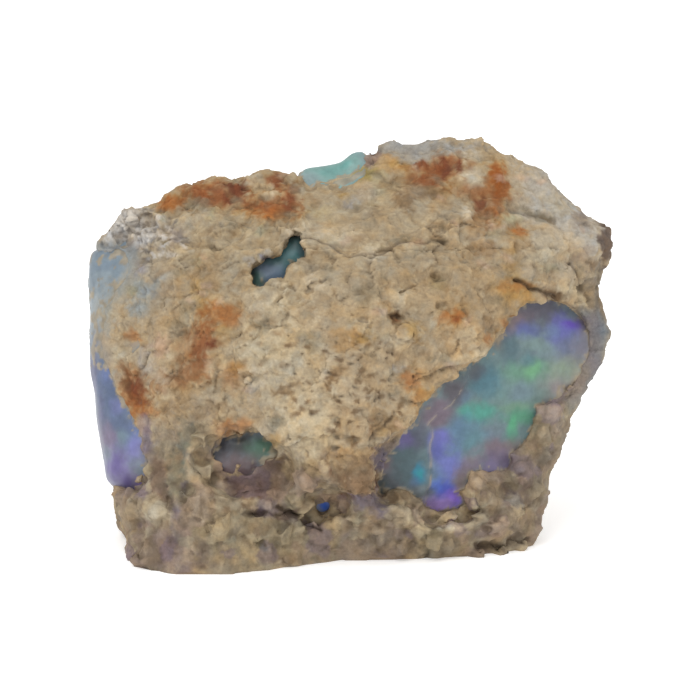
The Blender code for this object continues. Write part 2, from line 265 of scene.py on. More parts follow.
def patch(u, v, spot, soft, tear=0.0):
    """1 inside an ellipse and 0 outside. The spot is (u, v, half width, half height) and, if need be,
    a turn in degrees; soft is the width of its edge as a share of its radius."""
    spot_u, spot_v, half_width, half_height, *turn = spot
    across, up = u - spot_u, v - spot_v
    angle = math.radians(sum(turn))
    along = (across * math.cos(angle) + up * math.sin(angle)) / half_width
    aside = (up * math.cos(angle) - across * math.sin(angle)) / half_height
    return smooth_step((1.0 - np.hypot(along, aside)) / soft + 0.5 + tear)


def path_reach(u, v, path):
    """Distance to a path, and on which side of it a point lies: positive on the left of its run."""
    nearest = np.full(len(u), np.inf)
    side = np.zeros(len(u))
    for (start_u, start_v), (end_u, end_v) in itertools.pairwise(path):
        run_u, run_v = end_u - start_u, end_v - start_v
        share = ((u - start_u) * run_u + (v - start_v) * run_v) / (run_u**2 + run_v**2)
        share = np.clip(share, 0.0, 1.0)
        off_u, off_v = u - start_u - share * run_u, v - start_v - share * run_v
        reach = np.hypot(off_u, off_v)
        closer = reach < nearest
        side = np.where(closer, np.sign(run_u * off_v - run_v * off_u), side)
        nearest = np.minimum(nearest, reach)
    return nearest, side


def depth_inside(u, v, outline):
    """How far a point lies inside a closed outline; negative outside."""
    reach, _ = path_reach(u, v, outline + outline[:1])
    inside = np.zeros(len(u), bool)
    for (ua, va), (ub, vb) in itertools.pairwise(outline + outline[:1]):
        crosses = (va > v) != (vb > v)
        if va != vb:
            inside ^= crosses & (u < ua + (ub - ua) * (v - va) / (vb - va))
    return np.where(inside, reach, -reach)


def step_over(reach, side, width):
    """The level of a step along a path: 0.5 on the left of its run and -0.5 on the right."""
    return smooth_step(side * reach / width + 0.5) - 0.5


def facing_front(normals, least=0.1, fade=0.35):
    """1 where the skin faces forward and 0 where it faces away."""
    return smooth_step((least - normals[:, 2]) / fade)


def worn_top(points, normals, depth, foot):
    """How much the weather has worn off above a height, where the skin faces up, in mm."""
    return depth * smooth_step((normals[:, 1] - 0.25) / 0.4) * (points[:, 1] > foot)


# %% [markdown]
# ## The body of the host rock
#
# The solids keep a small gap between the two minerals, but real opal and rock grew against each
# other. So the rock's inner wall is drawn on to the opal, and the hollow between front and back is
# filled with a core. Under the crust the core is as thick as the opal, so that the rock's mesh has
# no inner wall. Where the opal lies bare it is thinner, and so it never shows.

# %% Body of the host rock
GAP_REACH = 0.42 * MM  # rock that lies this near to the opal is drawn on to it
BITE = 0.08 * MM  # and this far into it
CORE_INSET = 0.5 * MM  # how much thinner the core is under bare opal


def draw_on_to(obj, other):
    """Moves each point that lies close to the other body just into it."""
    target = skin_tree(other)
    points = points_of(obj)
    for i, (point, normal) in enumerate(zip(points, normals_of(obj))):
        place, _, _, reach = target.find_nearest(Vector(point))
        across = np.array(place) - point
        if 0.0 < reach < GAP_REACH and across @ normal > 0.0:
            points[i] += across * (1.0 + BITE / reach)
    move_points(obj, points)


rock = copy_of_solid("matrix", "host_rock")
opal = copy_of_solid("opal", "opal_seam")
draw_on_to(rock, opal)
core = copy_of_solid("opal", "core")
rock_skin = skin_tree(rock)
core_places = points_of(core)
to_rock = np.array([rock_skin.find_nearest(Vector(place))[3] for place in core_places])
uncovered = (to_rock > 3.0 * BITE)[:, None]
move_points(core, core_places - normals_of(core) * np.where(uncovered, CORE_INSET, 0.0))

# %% [markdown]
# ## Where each kind of rock lies
#
# The rock isn't the same all over. Below is a bed of grit that runs right round the stone. The top
# and the upper right are smoother. One corner is peppered with grey sand, and the middle of the
# crust is pitted. Each zone is an outline on the face with a soft edge.

# %% Zones of the rock
GRIT_BED = [
    (-21.5, 12.5), (-17.2, 13.6), (-15.9, 12.3), (-12.5, 12.7), (-11.5, 10.4), (-10.8, 8.0), (-7.6, 6.1),
    (-5.3, 10.4), (-1.3, 9.3), (-0.4, 6.5), (2.6, 5.8), (6.0, 6.8), (8.4, 5.2), (9.6, 8.2), (11.6, 9.3),
    (13.9, 9.1), (14.6, 11.8), (15.9, 14.9), (19.3, 15.3), (21.5, 15.1), (19.3, 9.1), (16.8, 1.3),
    (2.6, -0.4), (-9.5, -1.4), (-20.6, -1.2), (-21.9, 6.5),
]
PITTED = [
    (-6.4, 19.8), (-1.7, 20.7), (4.3, 19.8), (6.4, 17.3), (5.2, 14.2), (2.6, 11.7), (-1.7, 10.4),
    (-5.2, 14.2), (-6.9, 17.3),
]
SMOOTH_TOP = [
    (-4.3, 36.6), (-0.4, 35.7), (6.0, 36.6), (12.9, 36.6), (20.6, 32.3), (21.5, 27.0), (18.1, 27.0),
    (14.6, 28.4), (13.3, 31.9), (7.7, 31.0), (3.0, 28.9), (-0.4, 28.0), (-4.3, 29.5),
]
GREY_SAND = [
    (-21.9, 28.0), (-21.5, 30.2), (-19.3, 31.6), (-15.3, 31.4), (-13.8, 29.5), (-14.6, 27.6),
    (-18.1, 27.0),
]
CRUST = [
    (-21.5, 28.0), (-17.2, 31.9), (-4.3, 35.3), (16.3, 35.3), (21.5, 28.0), (20.6, 23.7), (12.9, 21.1),
    (2.6, 10.8), (-12.9, 12.5), (-20.6, 16.8),
]
GRIT_TOP_BEHIND = 9.5  # height of the grit on the sides and the back

# Where the opal lies bare, each place as an outline of its own.
BARE_FACE = [
    (16.3, 24.0), (18.7, 23.2), (20.5, 22.0), (20.9, 20.7), (20.6, 19.2), (20.1, 17.5), (19.4, 16.3),
    (18.2, 15.4), (16.8, 15.1), (16.1, 14.5), (15.7, 13.6), (15.6, 12.5), (14.7, 11.1), (13.8, 10.5),
    (13.5, 9.1), (11.9, 8.7), (11.2, 9.2), (10.3, 8.8), (10.0, 7.7), (9.6, 6.9), (9.9, 6.1), (9.0, 5.8),
    (7.7, 5.6), (6.6, 5.9), (6.3, 6.6), (5.2, 7.0), (4.3, 7.4), (3.3, 7.4), (2.7, 6.8), (2.4, 8.0),
    (2.7, 9.6), (3.8, 11.1), (5.0, 13.0), (6.0, 14.7), (7.7, 16.1), (10.0, 17.9), (12.0, 19.4),
    (13.3, 21.3), (14.4, 23.2),
]
BARE_FLANK = [
    (-24.9, 28.0), (-22.2, 28.0), (-20.6, 27.9), (-19.3, 27.8), (-18.8, 26.9), (-19.3, 25.6),
    (-20.5, 23.8), (-21.5, 21.6), (-21.8, 19.4), (-20.8, 17.7), (-20.0, 15.8), (-18.7, 13.5),
    (-18.0, 11.7), (-17.5, 9.8), (-17.5, 8.2), (-18.2, 7.2), (-19.6, 7.5), (-21.0, 7.9), (-24.9, 7.5),
]
BARE_BLUE_PIT = [
    (-5.3, 29.0), (-4.0, 29.3), (-3.9, 28.0), (-4.0, 26.9), (-5.0, 26.5), (-5.4, 25.4), (-6.7, 24.9),
    (-7.9, 24.4), (-8.4, 24.8), (-8.4, 26.5), (-7.6, 27.2), (-6.4, 27.8),
]
BARE_GREEN_PIT = [
    (-11.4, 9.3), (-12.0, 10.1), (-11.7, 10.8), (-11.1, 11.1), (-11.0, 11.8), (-10.1, 12.2), (-9.5, 11.9),
    (-8.9, 12.4), (-8.0, 12.5), (-7.6, 12.0), (-6.9, 11.7), (-6.7, 11.1), (-6.0, 10.6), (-6.4, 10.1),
    (-7.1, 10.0), (-7.2, 9.5), (-8.2, 9.4), (-8.5, 8.8), (-9.4, 8.9), (-10.0, 8.5), (-10.7, 8.8),
]
BARE_TOP = [
    (-5.6, 37.5), (-4.9, 34.7), (-4.3, 33.9), (-3.6, 33.3), (-2.8, 33.4), (-2.4, 34.1), (-1.3, 34.3),
    (0.0, 34.6), (0.9, 35.1), (1.5, 35.9), (1.7, 37.5),
]
BARE_GLINT = [
    (-2.9, 5.9), (-2.7, 6.3), (-2.1, 6.2), (-1.7, 6.5), (-1.5, 6.2), (-1.6, 5.6), (-2.1, 5.7),
    (-2.5, 5.5),
]
BARE = [BARE_FACE, BARE_FLANK, BARE_BLUE_PIT, BARE_GREEN_PIT, BARE_TOP, BARE_GLINT]

# The shores of the opal wander from their outlines, by noise of two sizes.
SHORE_RAG = 0.28
RAG_U = [(1.0, 1.0, 61), (0.45, 0.45, 62)]
RAG_V = [(1.0, 1.0, 63), (0.45, 0.45, 64)]


def zone(u, v, outline, soft=1.2):
    """1 inside an outline and 0 outside, with an edge this many mm wide."""
    return smooth_step(depth_inside(u, v, outline) / soft + 0.5)


def bare_depth(points, outlines):
    """How far inside a bare place each point lies."""
    flat = points * (1.0, 1.0, 0.0)
    u = points[:, 0] + SHORE_RAG * layered(flat, RAG_U)
    v = points[:, 1] + SHORE_RAG * layered(flat, RAG_V)
    return np.max([depth_inside(u, v, outline) for outline in outlines], axis=0)


# %% [markdown]
# ## The body of the opal
#
# Opal breaks like glass, in smooth shells, so its skin is calmer than the rock's. The bare face
# has one step, where a thin flake came off along a pale line, and a few faint hollows.
# Crumbs of cement still stick to it along its shores, and a sandy film on the upper left flank.

# %% Body of the opal
OPAL_VOXEL = 0.2 * MM
OPAL_SMOOTHING = 16
SHELL = [(0.14, 4.5, 22), (0.06, 1.8, 23), (0.02, 0.6, 24)]  # the hollows and swells of the break
FLAKE_STEP, FLAKE_CLIFF = 0.35, 0.25  # height and width of the step
FLAKE_FADE = 3.0  # how far from its edge the flake's level returns to the rest
FLAKE_WOBBLE = (0.25, 1.1, 21)  # its edge isn't straight
FLAKE_LEFT = 1.0  # and lies right of this
FLANK_SWELL, FLANK_RIGHT = 0.42, -18.0  # on the left flank the opal swells; where the flank ends
PIT_RISE, PIT_EDGE = 0.75, 1.5  # in the two pits the opal swells a little towards the crust
FLAKE_EDGE = [
    (10.3, 17.9), (10.1, 17.0), (9.7, 16.1), (9.1, 15.3), (8.6, 14.6), (7.7, 14.0), (6.8, 13.2),
    (7.0, 11.8), (7.0, 10.6), (6.9, 9.1), (6.6, 7.2), (6.4, 6.1),
]
# How far from a shore cement sticks: on the face, at the sides and as a film.
CEMENT_REACH, SIDE_REACH, FILM_REACH = 0.35, 0.9, 1.7
CEMENT_RISE, CEMENT_RAG, CEMENT_SOFT = 0.06, 1.3, 0.5  # its height, and how torn and soft its edge is
CEMENT_SPECKS = [(1.0, 0.5, 65), (0.7, 0.25, 66)]
CEMENT_ENDS = -0.6  # so far outside a shore, in mm
FILM_FOOT, FILM_RIGHT = 19.0, -12.0  # the film lies above this and left of this
OPAL_WEAR, OPAL_WEAR_FOOT = 0.3, 32.0  # weather has worn the top edge, above this height
VEIN_WIDTH, VEIN_SHARE = 0.12, 0.65  # the pale line, and how strong it is
VEIN_BREAKS = (2.0, 0.6, 25)

remesh(opal, OPAL_VOXEL, OPAL_SMOOTHING)
opal_points = to_seam(points_of(opal))
opal_normals = normals_of(opal) @ SEAM_AXES.T
wobble = layered(opal_points, [FLAKE_WOBBLE])
reach, side = path_reach(opal_points[:, 0] + wobble, opal_points[:, 1] + wobble, FLAKE_EDGE)
opal_front = facing_front(opal_normals)
right_face = smooth_step(opal_points[:, 0] - FLAKE_LEFT)
flake = np.exp(-((reach / FLAKE_FADE) ** 2)) * step_over(reach, side, FLAKE_CLIFF)
opal_height = layered(opal_points, SHELL) - FLAKE_STEP * flake * opal_front * right_face
for outline in (BARE_BLUE_PIT, BARE_GREEN_PIT):
    inside = zone(opal_points[:, 0], opal_points[:, 1], outline, PIT_EDGE)
    opal_height += PIT_RISE * inside * opal_front
on_flank = opal_points[:, 0] < FLANK_RIGHT
opal_height += FLANK_SWELL * smooth_step(-opal_normals[:, 0] - 0.3) * on_flank
shore = bare_depth(opal_points, BARE[:-1])
to_rock = [rock_skin.find_nearest(Vector(place))[3] / MM for place in points_of(opal)]
edge = np.where(opal_front > 0.5, shore, to_rock)
upper_flank = smooth_step((opal_points[:, 1] - FILM_FOOT) / 2.0) * (opal_points[:, 0] < FILM_RIGHT)
cement_reach = np.where(opal_front > 0.5, CEMENT_REACH, SIDE_REACH)
cement_reach = cement_reach + (FILM_REACH - cement_reach) * upper_flank
specks = layered(opal_points, CEMENT_SPECKS)
cement = smooth_step((0.5 - edge / cement_reach + CEMENT_RAG * specks) / CEMENT_SOFT)
cement = cement * (edge > CEMENT_ENDS)
opal_height += CEMENT_RISE * cement
opal_height -= worn_top(opal_points, opal_normals, OPAL_WEAR, OPAL_WEAR_FOOT)
move_points(opal, to_world(opal_points + opal_normals * opal_height[:, None]))
store(opal, "cement", cement)
vein = np.exp(-((reach / VEIN_WIDTH) ** 2)) * opal_front * right_face
vein *= VEIN_SHARE * smooth_step(0.45 + layered(opal_points, [VEIN_BREAKS]))
store(opal, "vein", vein)
opal.data.shade_smooth()
print("opal:", len(opal.data.polygons), "faces")

# %% [markdown]
# ## Where the rock meets the opal
#
# Rock and core are joined, and a voxel remesh turns them into one closed skin. Then its front is
# fitted to the opal by sliding points through the stone, along w. Where the opal lies bare the rock
# stays under it, and everywhere else at least a thin crust covers it. Along a shore the crust starts
# thin and thickens with a slope: gently on the left flank, steeply along the grit. Along the right
# rim the rock rises to the opal's edge, and carries its surface on to the side.

# %% Meet the opal
FIRST_VOXEL = 0.2 * MM
UNDER_OPAL = 0.5  # how far below bare opal the rock stays, in mm
OPAL_AHEAD = -0.15  # the opal's front is where its normals have less than this along w
ROCK_AHEAD, ROCK_DEPTH = 0.2, 6.0  # the rock's front has less than this, and lies above this depth
OVER_OPAL, NEAR_OPAL = 0.15, 0.3  # a point lies over the opal, or beside it, up to these distances
SHORE_FADE = 0.8  # over this many mm a shore's slope passes into the rest of the crust
SHORES = [  # (the shore's path, slope of the rock, how far the slope reaches)
    ([
        (-22.2, 28.2), (-20.6, 28.1), (-19.1, 28.0), (-18.6, 27.0), (-19.1, 25.6), (-20.3, 23.7),
        (-21.3, 21.6), (-21.6, 19.4), (-20.6, 17.9), (-19.8, 16.0), (-18.6, 13.6), (-17.9, 11.7),
    ], 0.4, 4.0),
    ([
        (16.8, 15.1), (16.1, 14.5), (15.7, 13.6), (15.6, 12.5), (14.7, 11.1), (13.8, 10.5),
        (13.5, 9.1), (11.9, 8.7), (11.2, 9.2), (10.3, 8.8), (10.0, 7.7), (9.6, 6.9), (9.9, 6.1),
        (9.0, 5.8), (7.7, 5.6), (6.6, 5.9), (6.3, 6.6), (5.2, 7.0), (4.3, 7.4), (3.3, 7.4),
    ], 1.0, 1.8),
    ([
        (-11.8, 9.9), (-11.0, 9.1), (-9.8, 8.5), (-8.6, 8.7), (-7.6, 9.3), (-6.8, 9.8),
    ], 0.45, 2.2),
    ([
        (-2.9, 5.8), (-2.8, 6.4), (-2.1, 6.6), (-1.5, 6.2),
    ], 0.8, 1.8),
]
LIP = 0.26  # thickness of the crust where it ends, in mm
RIGHT_RIM = [
    (20.6, 21.8), (21.2, 19.9), (20.5, 17.5), (19.5, 15.4), (18.3, 13.9),
]
RIM_SLOPE, RIM_REACH = 1.3, 4.0  # how steeply the rock falls away from the rim, and how far
MOST_BURIED = 1.2  # rock this far or less below the opal's front is brought out as a crust


def join(objects, into):
    bpy.ops.object.select_all(action="DESELECT")
    for obj in (*objects, into):
        obj.select_set(True)
    bpy.context.view_layer.objects.active = into
    bpy.ops.object.join()


def opal_level(points):
    """The level w of the opal's front nearest to each (u, v), and its distance."""
    places = to_seam(points_of(opal))
    places = places[(normals_of(opal) @ SEAM_AXES.T)[:, 2] < OPAL_AHEAD]
    tree = KDTree(len(places))
    for number, (u, v, _) in enumerate(places):
        tree.insert((u, v, 0.0), number)
    tree.balance()
    found = [tree.find_n((u, v, 0.0), 3) for u, v, _ in points]
    level = np.array([np.mean([places[number][2] for _, number, _ in three]) for three in found])
    return level, np.array([three[0][2] for three in found])


def meet_opal(points, normals):
    """Slides the rock's front along w, so that it covers the opal or lies under it."""
    front = np.flatnonzero((normals[:, 2] < ROCK_AHEAD) & (points[:, 2] < ROCK_DEPTH))
    u, v, w = points[front].T
    level, away = opal_level(points[front])
    for path, slope, far in SHORES:
        reach, _ = path_reach(u, v, path)
        thinned = np.maximum(w, level - LIP - slope * reach)
        w = w + (thinned - w) * smooth_step((far - reach) / SHORE_FADE)
    reach, _ = path_reach(u, v, RIGHT_RIM)
    raised = np.minimum(w, level + RIM_SLOPE * away)
    w = w + (raised - w) * smooth_step(RIM_REACH - reach)
    over_opal = (away < OVER_OPAL) & (w > level - LIP) & (w < level + MOST_BURIED)
    w = np.where(over_opal, level - LIP, w)
    bare = (bare_depth(points[front], BARE) > 0.0) & (away < NEAR_OPAL)
    points[front, 2] = np.where(bare, np.maximum(w, level + UNDER_OPAL), w)
    return points


join([core], rock)
remesh(rock, FIRST_VOXEL, 0)
met = meet_opal(to_seam(points_of(rock)), normals_of(rock) @ SEAM_AXES.T)
move_points(rock, to_world(met))

# %% [markdown]
# ## Grit and pebbles
#
# The foot of the stone is a jumble of sub-angular crumbs, half a millimetre to three and a half
# across, half sunk in fine cement. Each crumb starts as a cube or an icosphere. Its points are
# thrown about, and the hull of them has flat, blunt facets like a real fragment. A few shapes,
# turned and squashed, make all of them. The larger ones are listed one by one, and the rest are
# scattered so that no two sit on the same place.

# %% Grit and pebbles
CRUMB_SHAPES = 10
HAND_GRAINS = [  # u, v, half width, half height and, if any, a turn in degrees
    (-16.6, 5.5, 1.03, 0.95), (11.0, 8.0, 0.86, 0.6, 35), (10.8, 6.3, 0.86, 0.6),
    (12.2, 6.2, 0.6, 0.52, 20), (8.4, 4.4, 1.63, 0.77, -12), (17.5, 14.1, 1.29, 0.69, 10),
    (16.6, 12.3, 0.77, 0.86), (17.7, 12.5, 0.52, 0.52), (0.5, 8.0, 1.81, 1.12),
    (-8.6, 7.3, 1.72, 1.12, -5), (-13.0, 8.7, 1.2, 1.29), (-17.6, 8.7, 0.6, 1.12), (-11.1, 4.3, 1.2, 1.2),
    (-4.0, 8.1, 1.12, 0.95), (-4.1, 6.2, 1.03, 0.86), (14.9, 9.3, 0.77, 0.69), (12.5, 4.2, 1.38, 0.6),
    (-18.7, 5.8, 0.86, 1.03), (-12.9, 6.0, 1.29, 1.12), (-16.3, 8.4, 0.86, 1.03),
    (-14.1, 1.7, 0.69, 0.86, -20), (-7.1, 5.9, 0.77, 0.52), (-5.7, 3.5, 1.38, 0.77),
    (-8.6, 3.1, 0.95, 0.77), (-0.9, 4.6, 0.86, 0.52), (-0.4, 6.1, 0.6, 0.95), (1.8, 35.9, 0.6, 0.69, -50),
    (-18.7, 1.7, 0.95, 0.77), (-17.7, 0.8, 1.03, 0.69), (-17.2, 0.1, 0.95, 0.69),
    (-15.5, -0.1, 0.95, 0.6), (11.0, 1.7, 1.29, 0.6), (13.1, 2.0, 1.12, 0.6), (14.5, 2.5, 0.77, 0.69),
    (-19.7, 6.8, 0.52, 0.52), (-18.9, 7.2, 0.52, 0.52, 20), (-18.1, 7.5, 0.52, 0.43),
    (4.1, 6.6, 1.03, 0.6), (5.5, 5.1, 1.12, 0.69), (2.4, 4.1, 0.69, 0.52), (0.7, 2.2, 1.55, 0.69),
    (8.4, 2.8, 1.03, 0.6), (4.5, 2.6, 1.2, 0.69), (14.1, 8.2, 0.43, 0.69), (16.0, 7.4, 0.69, 0.86),
    (16.8, 10.1, 0.69, 0.86), (11.2, 5.0, 0.95, 0.43), (-17.2, 2.2, 1.2, 0.77), (-11.0, 0.9, 1.03, 0.6),
    (-2.6, 3.1, 0.77, 0.69), (-12.5, 3.1, 1.03, 0.77), (-3.3, 9.1, 0.69, 0.6),
    (-9.5, 9.4, 0.77, 0.86, -30), (14.2, 5.6, 1.03, 0.69), (9.8, 5.3, 0.95, 0.6),
    (-20.0, 7.1, 0.69, 0.52),
]
SCATTER = [(280, 0.85, 1.25), (1320, 0.50, 0.80), (3600, 0.28, 0.45)]  # tries, least and most radius
SCATTER_SEED = 5
SCATTER_AHEAD = -0.3  # a place counts as the front where its normal has less than this along w
CROWDING = 0.72  # centres may be this share of two radii apart
FOOT_ROOM = 0.9 * MM  # no grain is scattered nearer to the table than this
GRIT_EDGE = (2.0, 5.0, 12)  # behind, the top of the grit wanders
HAND_SUNK, HAND_THICK = 0.35, 0.95  # how deep a hand-set grain sits and how thick it is
SUNK, SUNK_ASIDE = 0.3, 0.7  # how deep a scattered grain sits, and how much more on the flanks
SQUASH = (0.75, 1.2)  # its three radii differ
BED_INSET, SHORE_ROOM = 0.3, -0.15  # it keeps inside the bed, and this far from bare opal
RAY_START = -40.0  # well in front of the stone
RAY_LIFTS = (0.0, 0.4, 0.8, 1.2, 1.6)  # a ray that misses is tried again this much higher


def crumb(name, seed):
    """A blunt fragment that fills a box of half-width 1."""
    if seed % 2:
        bpy.ops.mesh.primitive_ico_sphere_add(subdivisions=1, radius=1.0)
    else:
        bpy.ops.mesh.primitive_cube_add(size=1.4)
    obj = bpy.context.active_object
    obj.name = name
    edit_all(obj)
    bpy.ops.transform.vertex_random(offset=0.5, uniform=1.0, seed=seed)
    bpy.ops.mesh.convex_hull()
    close_edit()
    points = points_of(obj)
    low, high = points.min(axis=0), points.max(axis=0)
    move_points(obj, (2.0 * points - low - high) / (high - low))
    return obj


def place_crumb(shape, place, radii, turn):
    """A copy of a crumb with its own mesh, at a place in the seam's axes."""
    grain = shape.copy()
    grain.data = shape.data.copy()
    bpy.context.scene.collection.objects.link(grain)
    axes = Matrix(SEAM_AXES.T.tolist()).to_4x4()
    spin = Matrix.Rotation(turn, 4, "Z")
    tilt = shape_turns[shape.name].to_matrix().to_4x4()
    size = Matrix.Diagonal((*(radius * MM for radius in radii), 1.0))
    grain.matrix_world = Matrix.Translation(to_world(np.array(place))) @ axes @ spin @ size @ tilt
    return grain


def surface_samples(obj, count, rng):
    """Random places on a body, spread by area, with their normals, on the seam's axes."""
    obj.data.calc_loop_triangles()
    corners = np.empty(len(obj.data.loop_triangles) * 3, int)
    obj.data.loop_triangles.foreach_get("vertices", corners)
    a, b, c = points_of(obj)[corners.reshape(-1, 3)].transpose(1, 0, 2)
    across = np.cross(b - a, c - a)
    area = np.linalg.norm(across, axis=1)
    chosen = rng.choice(len(area), count, p=area / area.sum())
    s, t = rng.uniform(size=(2, count, 1))
    s, t = np.where(s + t > 1.0, 1.0 - s, s), np.where(s + t > 1.0, 1.0 - t, t)
    places = a[chosen] + s * (b - a)[chosen] + t * (c - a)[chosen]
    return to_seam(places), (across / area[:, None])[chosen] @ SEAM_AXES.T


def front_depth(obj, spots):
    """How deep the front of a body lies at each (u, v), or just above one that it misses."""
    tree = skin_tree(obj)
    depths = []
    for u, v in spots:
        starts = [to_world(np.array([u, v + lift, RAY_START])) for lift in RAY_LIFTS]
        hits = [tree.ray_cast(Vector(start), Vector(INTO_STONE))[0] for start in starts]
        depths.append(next(to_seam(np.array(hit))[2] for hit in hits if hit))
    return depths


crumbs = [crumb(f"crumb_{number}", number) for number in range(CRUMB_SHAPES)]
shape_turns = {obj.name: Euler((number, 2.0 * number, 0.0)) for number, obj in enumerate(crumbs)}
rng = np.random.default_rng(SCATTER_SEED)
opal_skin = skin_tree(opal)
grains = []  # (u, v, w, radius) of each
grain_objects = []
depths = front_depth(rock, [(u, v) for u, v, *_ in HAND_GRAINS])
for number, ((u, v, half_width, half_height, *turn), w) in enumerate(zip(HAND_GRAINS, depths)):
    least = min(half_width, half_height)
    place = (u, v, w + HAND_SUNK * least)
    radii = (half_width, half_height, HAND_THICK * least)
    shape = crumbs[number % CRUMB_SHAPES]
    grain_objects.append(place_crumb(shape, place, radii, math.radians(sum(turn))))
    grains.append((*place, 0.5 * (half_width + half_height)))

for tries, least, most in SCATTER:
    places, directions = surface_samples(rock, tries, rng)
    front = directions[:, 2] < SCATTER_AHEAD
    in_bed = np.where(
        front, depth_inside(places[:, 0], places[:, 1], GRIT_BED) > BED_INSET,
        places[:, 1] < GRIT_TOP_BEHIND + layered(places, [GRIT_EDGE]),
    )
    bare = bare_depth(places, BARE) > SHORE_ROOM
    to_opal = np.array([opal_skin.find_nearest(Vector(place))[3] for place in to_world(places)])
    in_bed &= ~np.where(front, bare, to_opal < most * MM)
    clear_of_foot = to_world(places)[:, 2] > FOOT_ROOM
    for place, direction in zip(places[in_bed & clear_of_foot], directions[in_bed & clear_of_foot]):
        radius = rng.uniform(least, most)
        taken = np.array(grains)
        reach = np.linalg.norm(taken[:, :3] - place, axis=1)
        if np.any(reach < CROWDING * (taken[:, 3] + radius)):
            continue
        sunk = place - direction * radius * (SUNK + SUNK_ASIDE * abs(direction[0]))
        radii = radius * rng.uniform(*SQUASH, 3)
        shape = crumbs[rng.integers(CRUMB_SHAPES)]
        grain_objects.append(place_crumb(shape, sunk, radii, rng.uniform(0.0, math.tau)))
        grains.append((*sunk, radius))
grains = np.array(grains)
print("grains of grit:", len(grains))

# %% [markdown]
# ## One skin
#
# Rock and grains are joined, and a finer voxel remesh makes them one closed skin again, fine enough
# for grains of sand. Where two grains meet it leaves a crevice, as cement does.

# %% One skin
ROCK_VOXEL = 0.15 * MM
ROCK_SMOOTHING = 2

join(grain_objects, rock)
for obj in crumbs:
    bpy.data.objects.remove(obj)
remesh(rock, ROCK_VOXEL, ROCK_SMOOTHING)
print("host rock skin:", len(rock.data.polygons), "faces")

# %% [markdown]
# ## Marks on the crust
#
# Cracks are narrow grooves, each with a width and a depth. Ledges are steps, where the rock on the
# right of the path stands lower. Hollows and lumps are round: a place, two radii and a depth, or a
# place, one radius and a height. All are given in millimetres.

# %% Marks on the crust
CRACKS = [
    ("upper step", 0.2, 0.35, [
        (-4.6, 29.2), (-3.0, 28.9), (-1.7, 28.3), (-0.7, 27.8), (-0.2, 27.4), (2.4, 27.4),
        (3.0, 28.1), (3.9, 28.6), (4.7, 28.9), (6.0, 29.0), (7.1, 29.2), (8.1, 28.7),
    ]),
    ("flap crack", 0.2, 0.5, [
        (14.3, 25.2), (15.5, 24.9), (16.4, 24.4), (17.6, 23.9), (18.9, 23.3), (20.1, 22.6),
    ]),
    ("groove", 0.25, 0.12, [
        (14.1, 31.7), (15.1, 31.4), (16.3, 31.0), (17.7, 30.7),
    ]),
    ("right crack", 0.18, 0.15, [
        (19.3, 27.0), (19.8, 25.9), (20.0, 24.6), (20.6, 23.7),
    ]),
    ("low crack", 0.16, 0.18, [
        (3.6, 14.2), (3.3, 13.4), (2.4, 12.5), (1.8, 11.7),
    ]),
    ("foot cleft", 0.2, 0.45, [
        (-6.3, 6.0), (-5.3, 5.6), (-4.4, 5.1), (-3.5, 4.4), (-2.5, 4.0),
    ]),
    ("foot crack", 0.3, 0.5, [
        (11.0, 2.0), (12.5, 2.4), (13.9, 2.8), (15.3, 3.1),
    ]),
]
LEDGES = [
    ("upper band", 0.45, [
        (7.7, 29.5), (6.0, 29.2), (4.7, 29.0), (3.9, 28.8), (3.0, 28.3), (2.4, 27.6), (-0.2, 27.6),
        (-0.7, 28.1), (-1.7, 28.5), (-3.0, 29.0), (-4.3, 29.4),
    ]),
    ("cream plate", 0.5, [
        (-11.6, 17.5), (-11.5, 19.8), (-9.9, 20.9), (-7.7, 21.7), (-6.9, 23.0), (-6.0, 24.0),
        (-3.9, 24.7),
    ]),
    ("ledge shelf", 0.45, [
        (6.9, 17.3), (8.8, 18.0), (10.3, 18.5), (12.0, 18.9), (12.9, 19.8), (13.8, 21.1),
    ]),
]
HOLLOWS = [
    (-6.4, 8.7, 1.12, 1.55, 0.5), (-8.0, 5.5, 0.86, 0.26, 0.75), (-5.4, 5.3, 0.95, 0.26, 0.75),
    (3.9, 22.2, 0.52, 0.26, 0.3), (0.1, 11.9, 0.6, 0.43, 0.7), (19.6, 27.4, 0.34, 0.34, 0.15),
    (20.0, 24.8, 0.34, 0.43, 0.15), (7.5, 30.1, 0.77, 0.34, 0.3), (7.7, 25.9, 0.77, 0.26, 0.3),
    (13.7, 7.4, 0.86, 0.52, 0.3), (12.6, 2.3, 1.72, 0.43, 0.6), (20.2, 31.1, 0.26, 0.34, 0.12),
    (14.6, 25.2, 0.34, 0.26, 0.2), (1.4, 24.4, 1.03, 0.43, 0.2), (-3.4, 20.5, 1.12, 0.43, 0.2),
    (-14.8, 29.2, 0.77, 0.34, 0.2), (11.4, 28.2, 0.86, 0.34, 0.25), (-14.1, 20.5, 0.52, 0.6, 0.2),
    (2.9, 24.6, 0.43, 1.46, 0.3), (-8.2, 9.8, 0.69, 0.86, 0.5), (14.4, 28.1, 0.34, 0.34, 0.4),
    (-15.5, 6.1, 0.43, 0.77, 0.4), (-14.3, 7.4, 0.43, 0.52, 0.4), (-7.6, 2.8, 0.52, 0.34, 0.4),
]
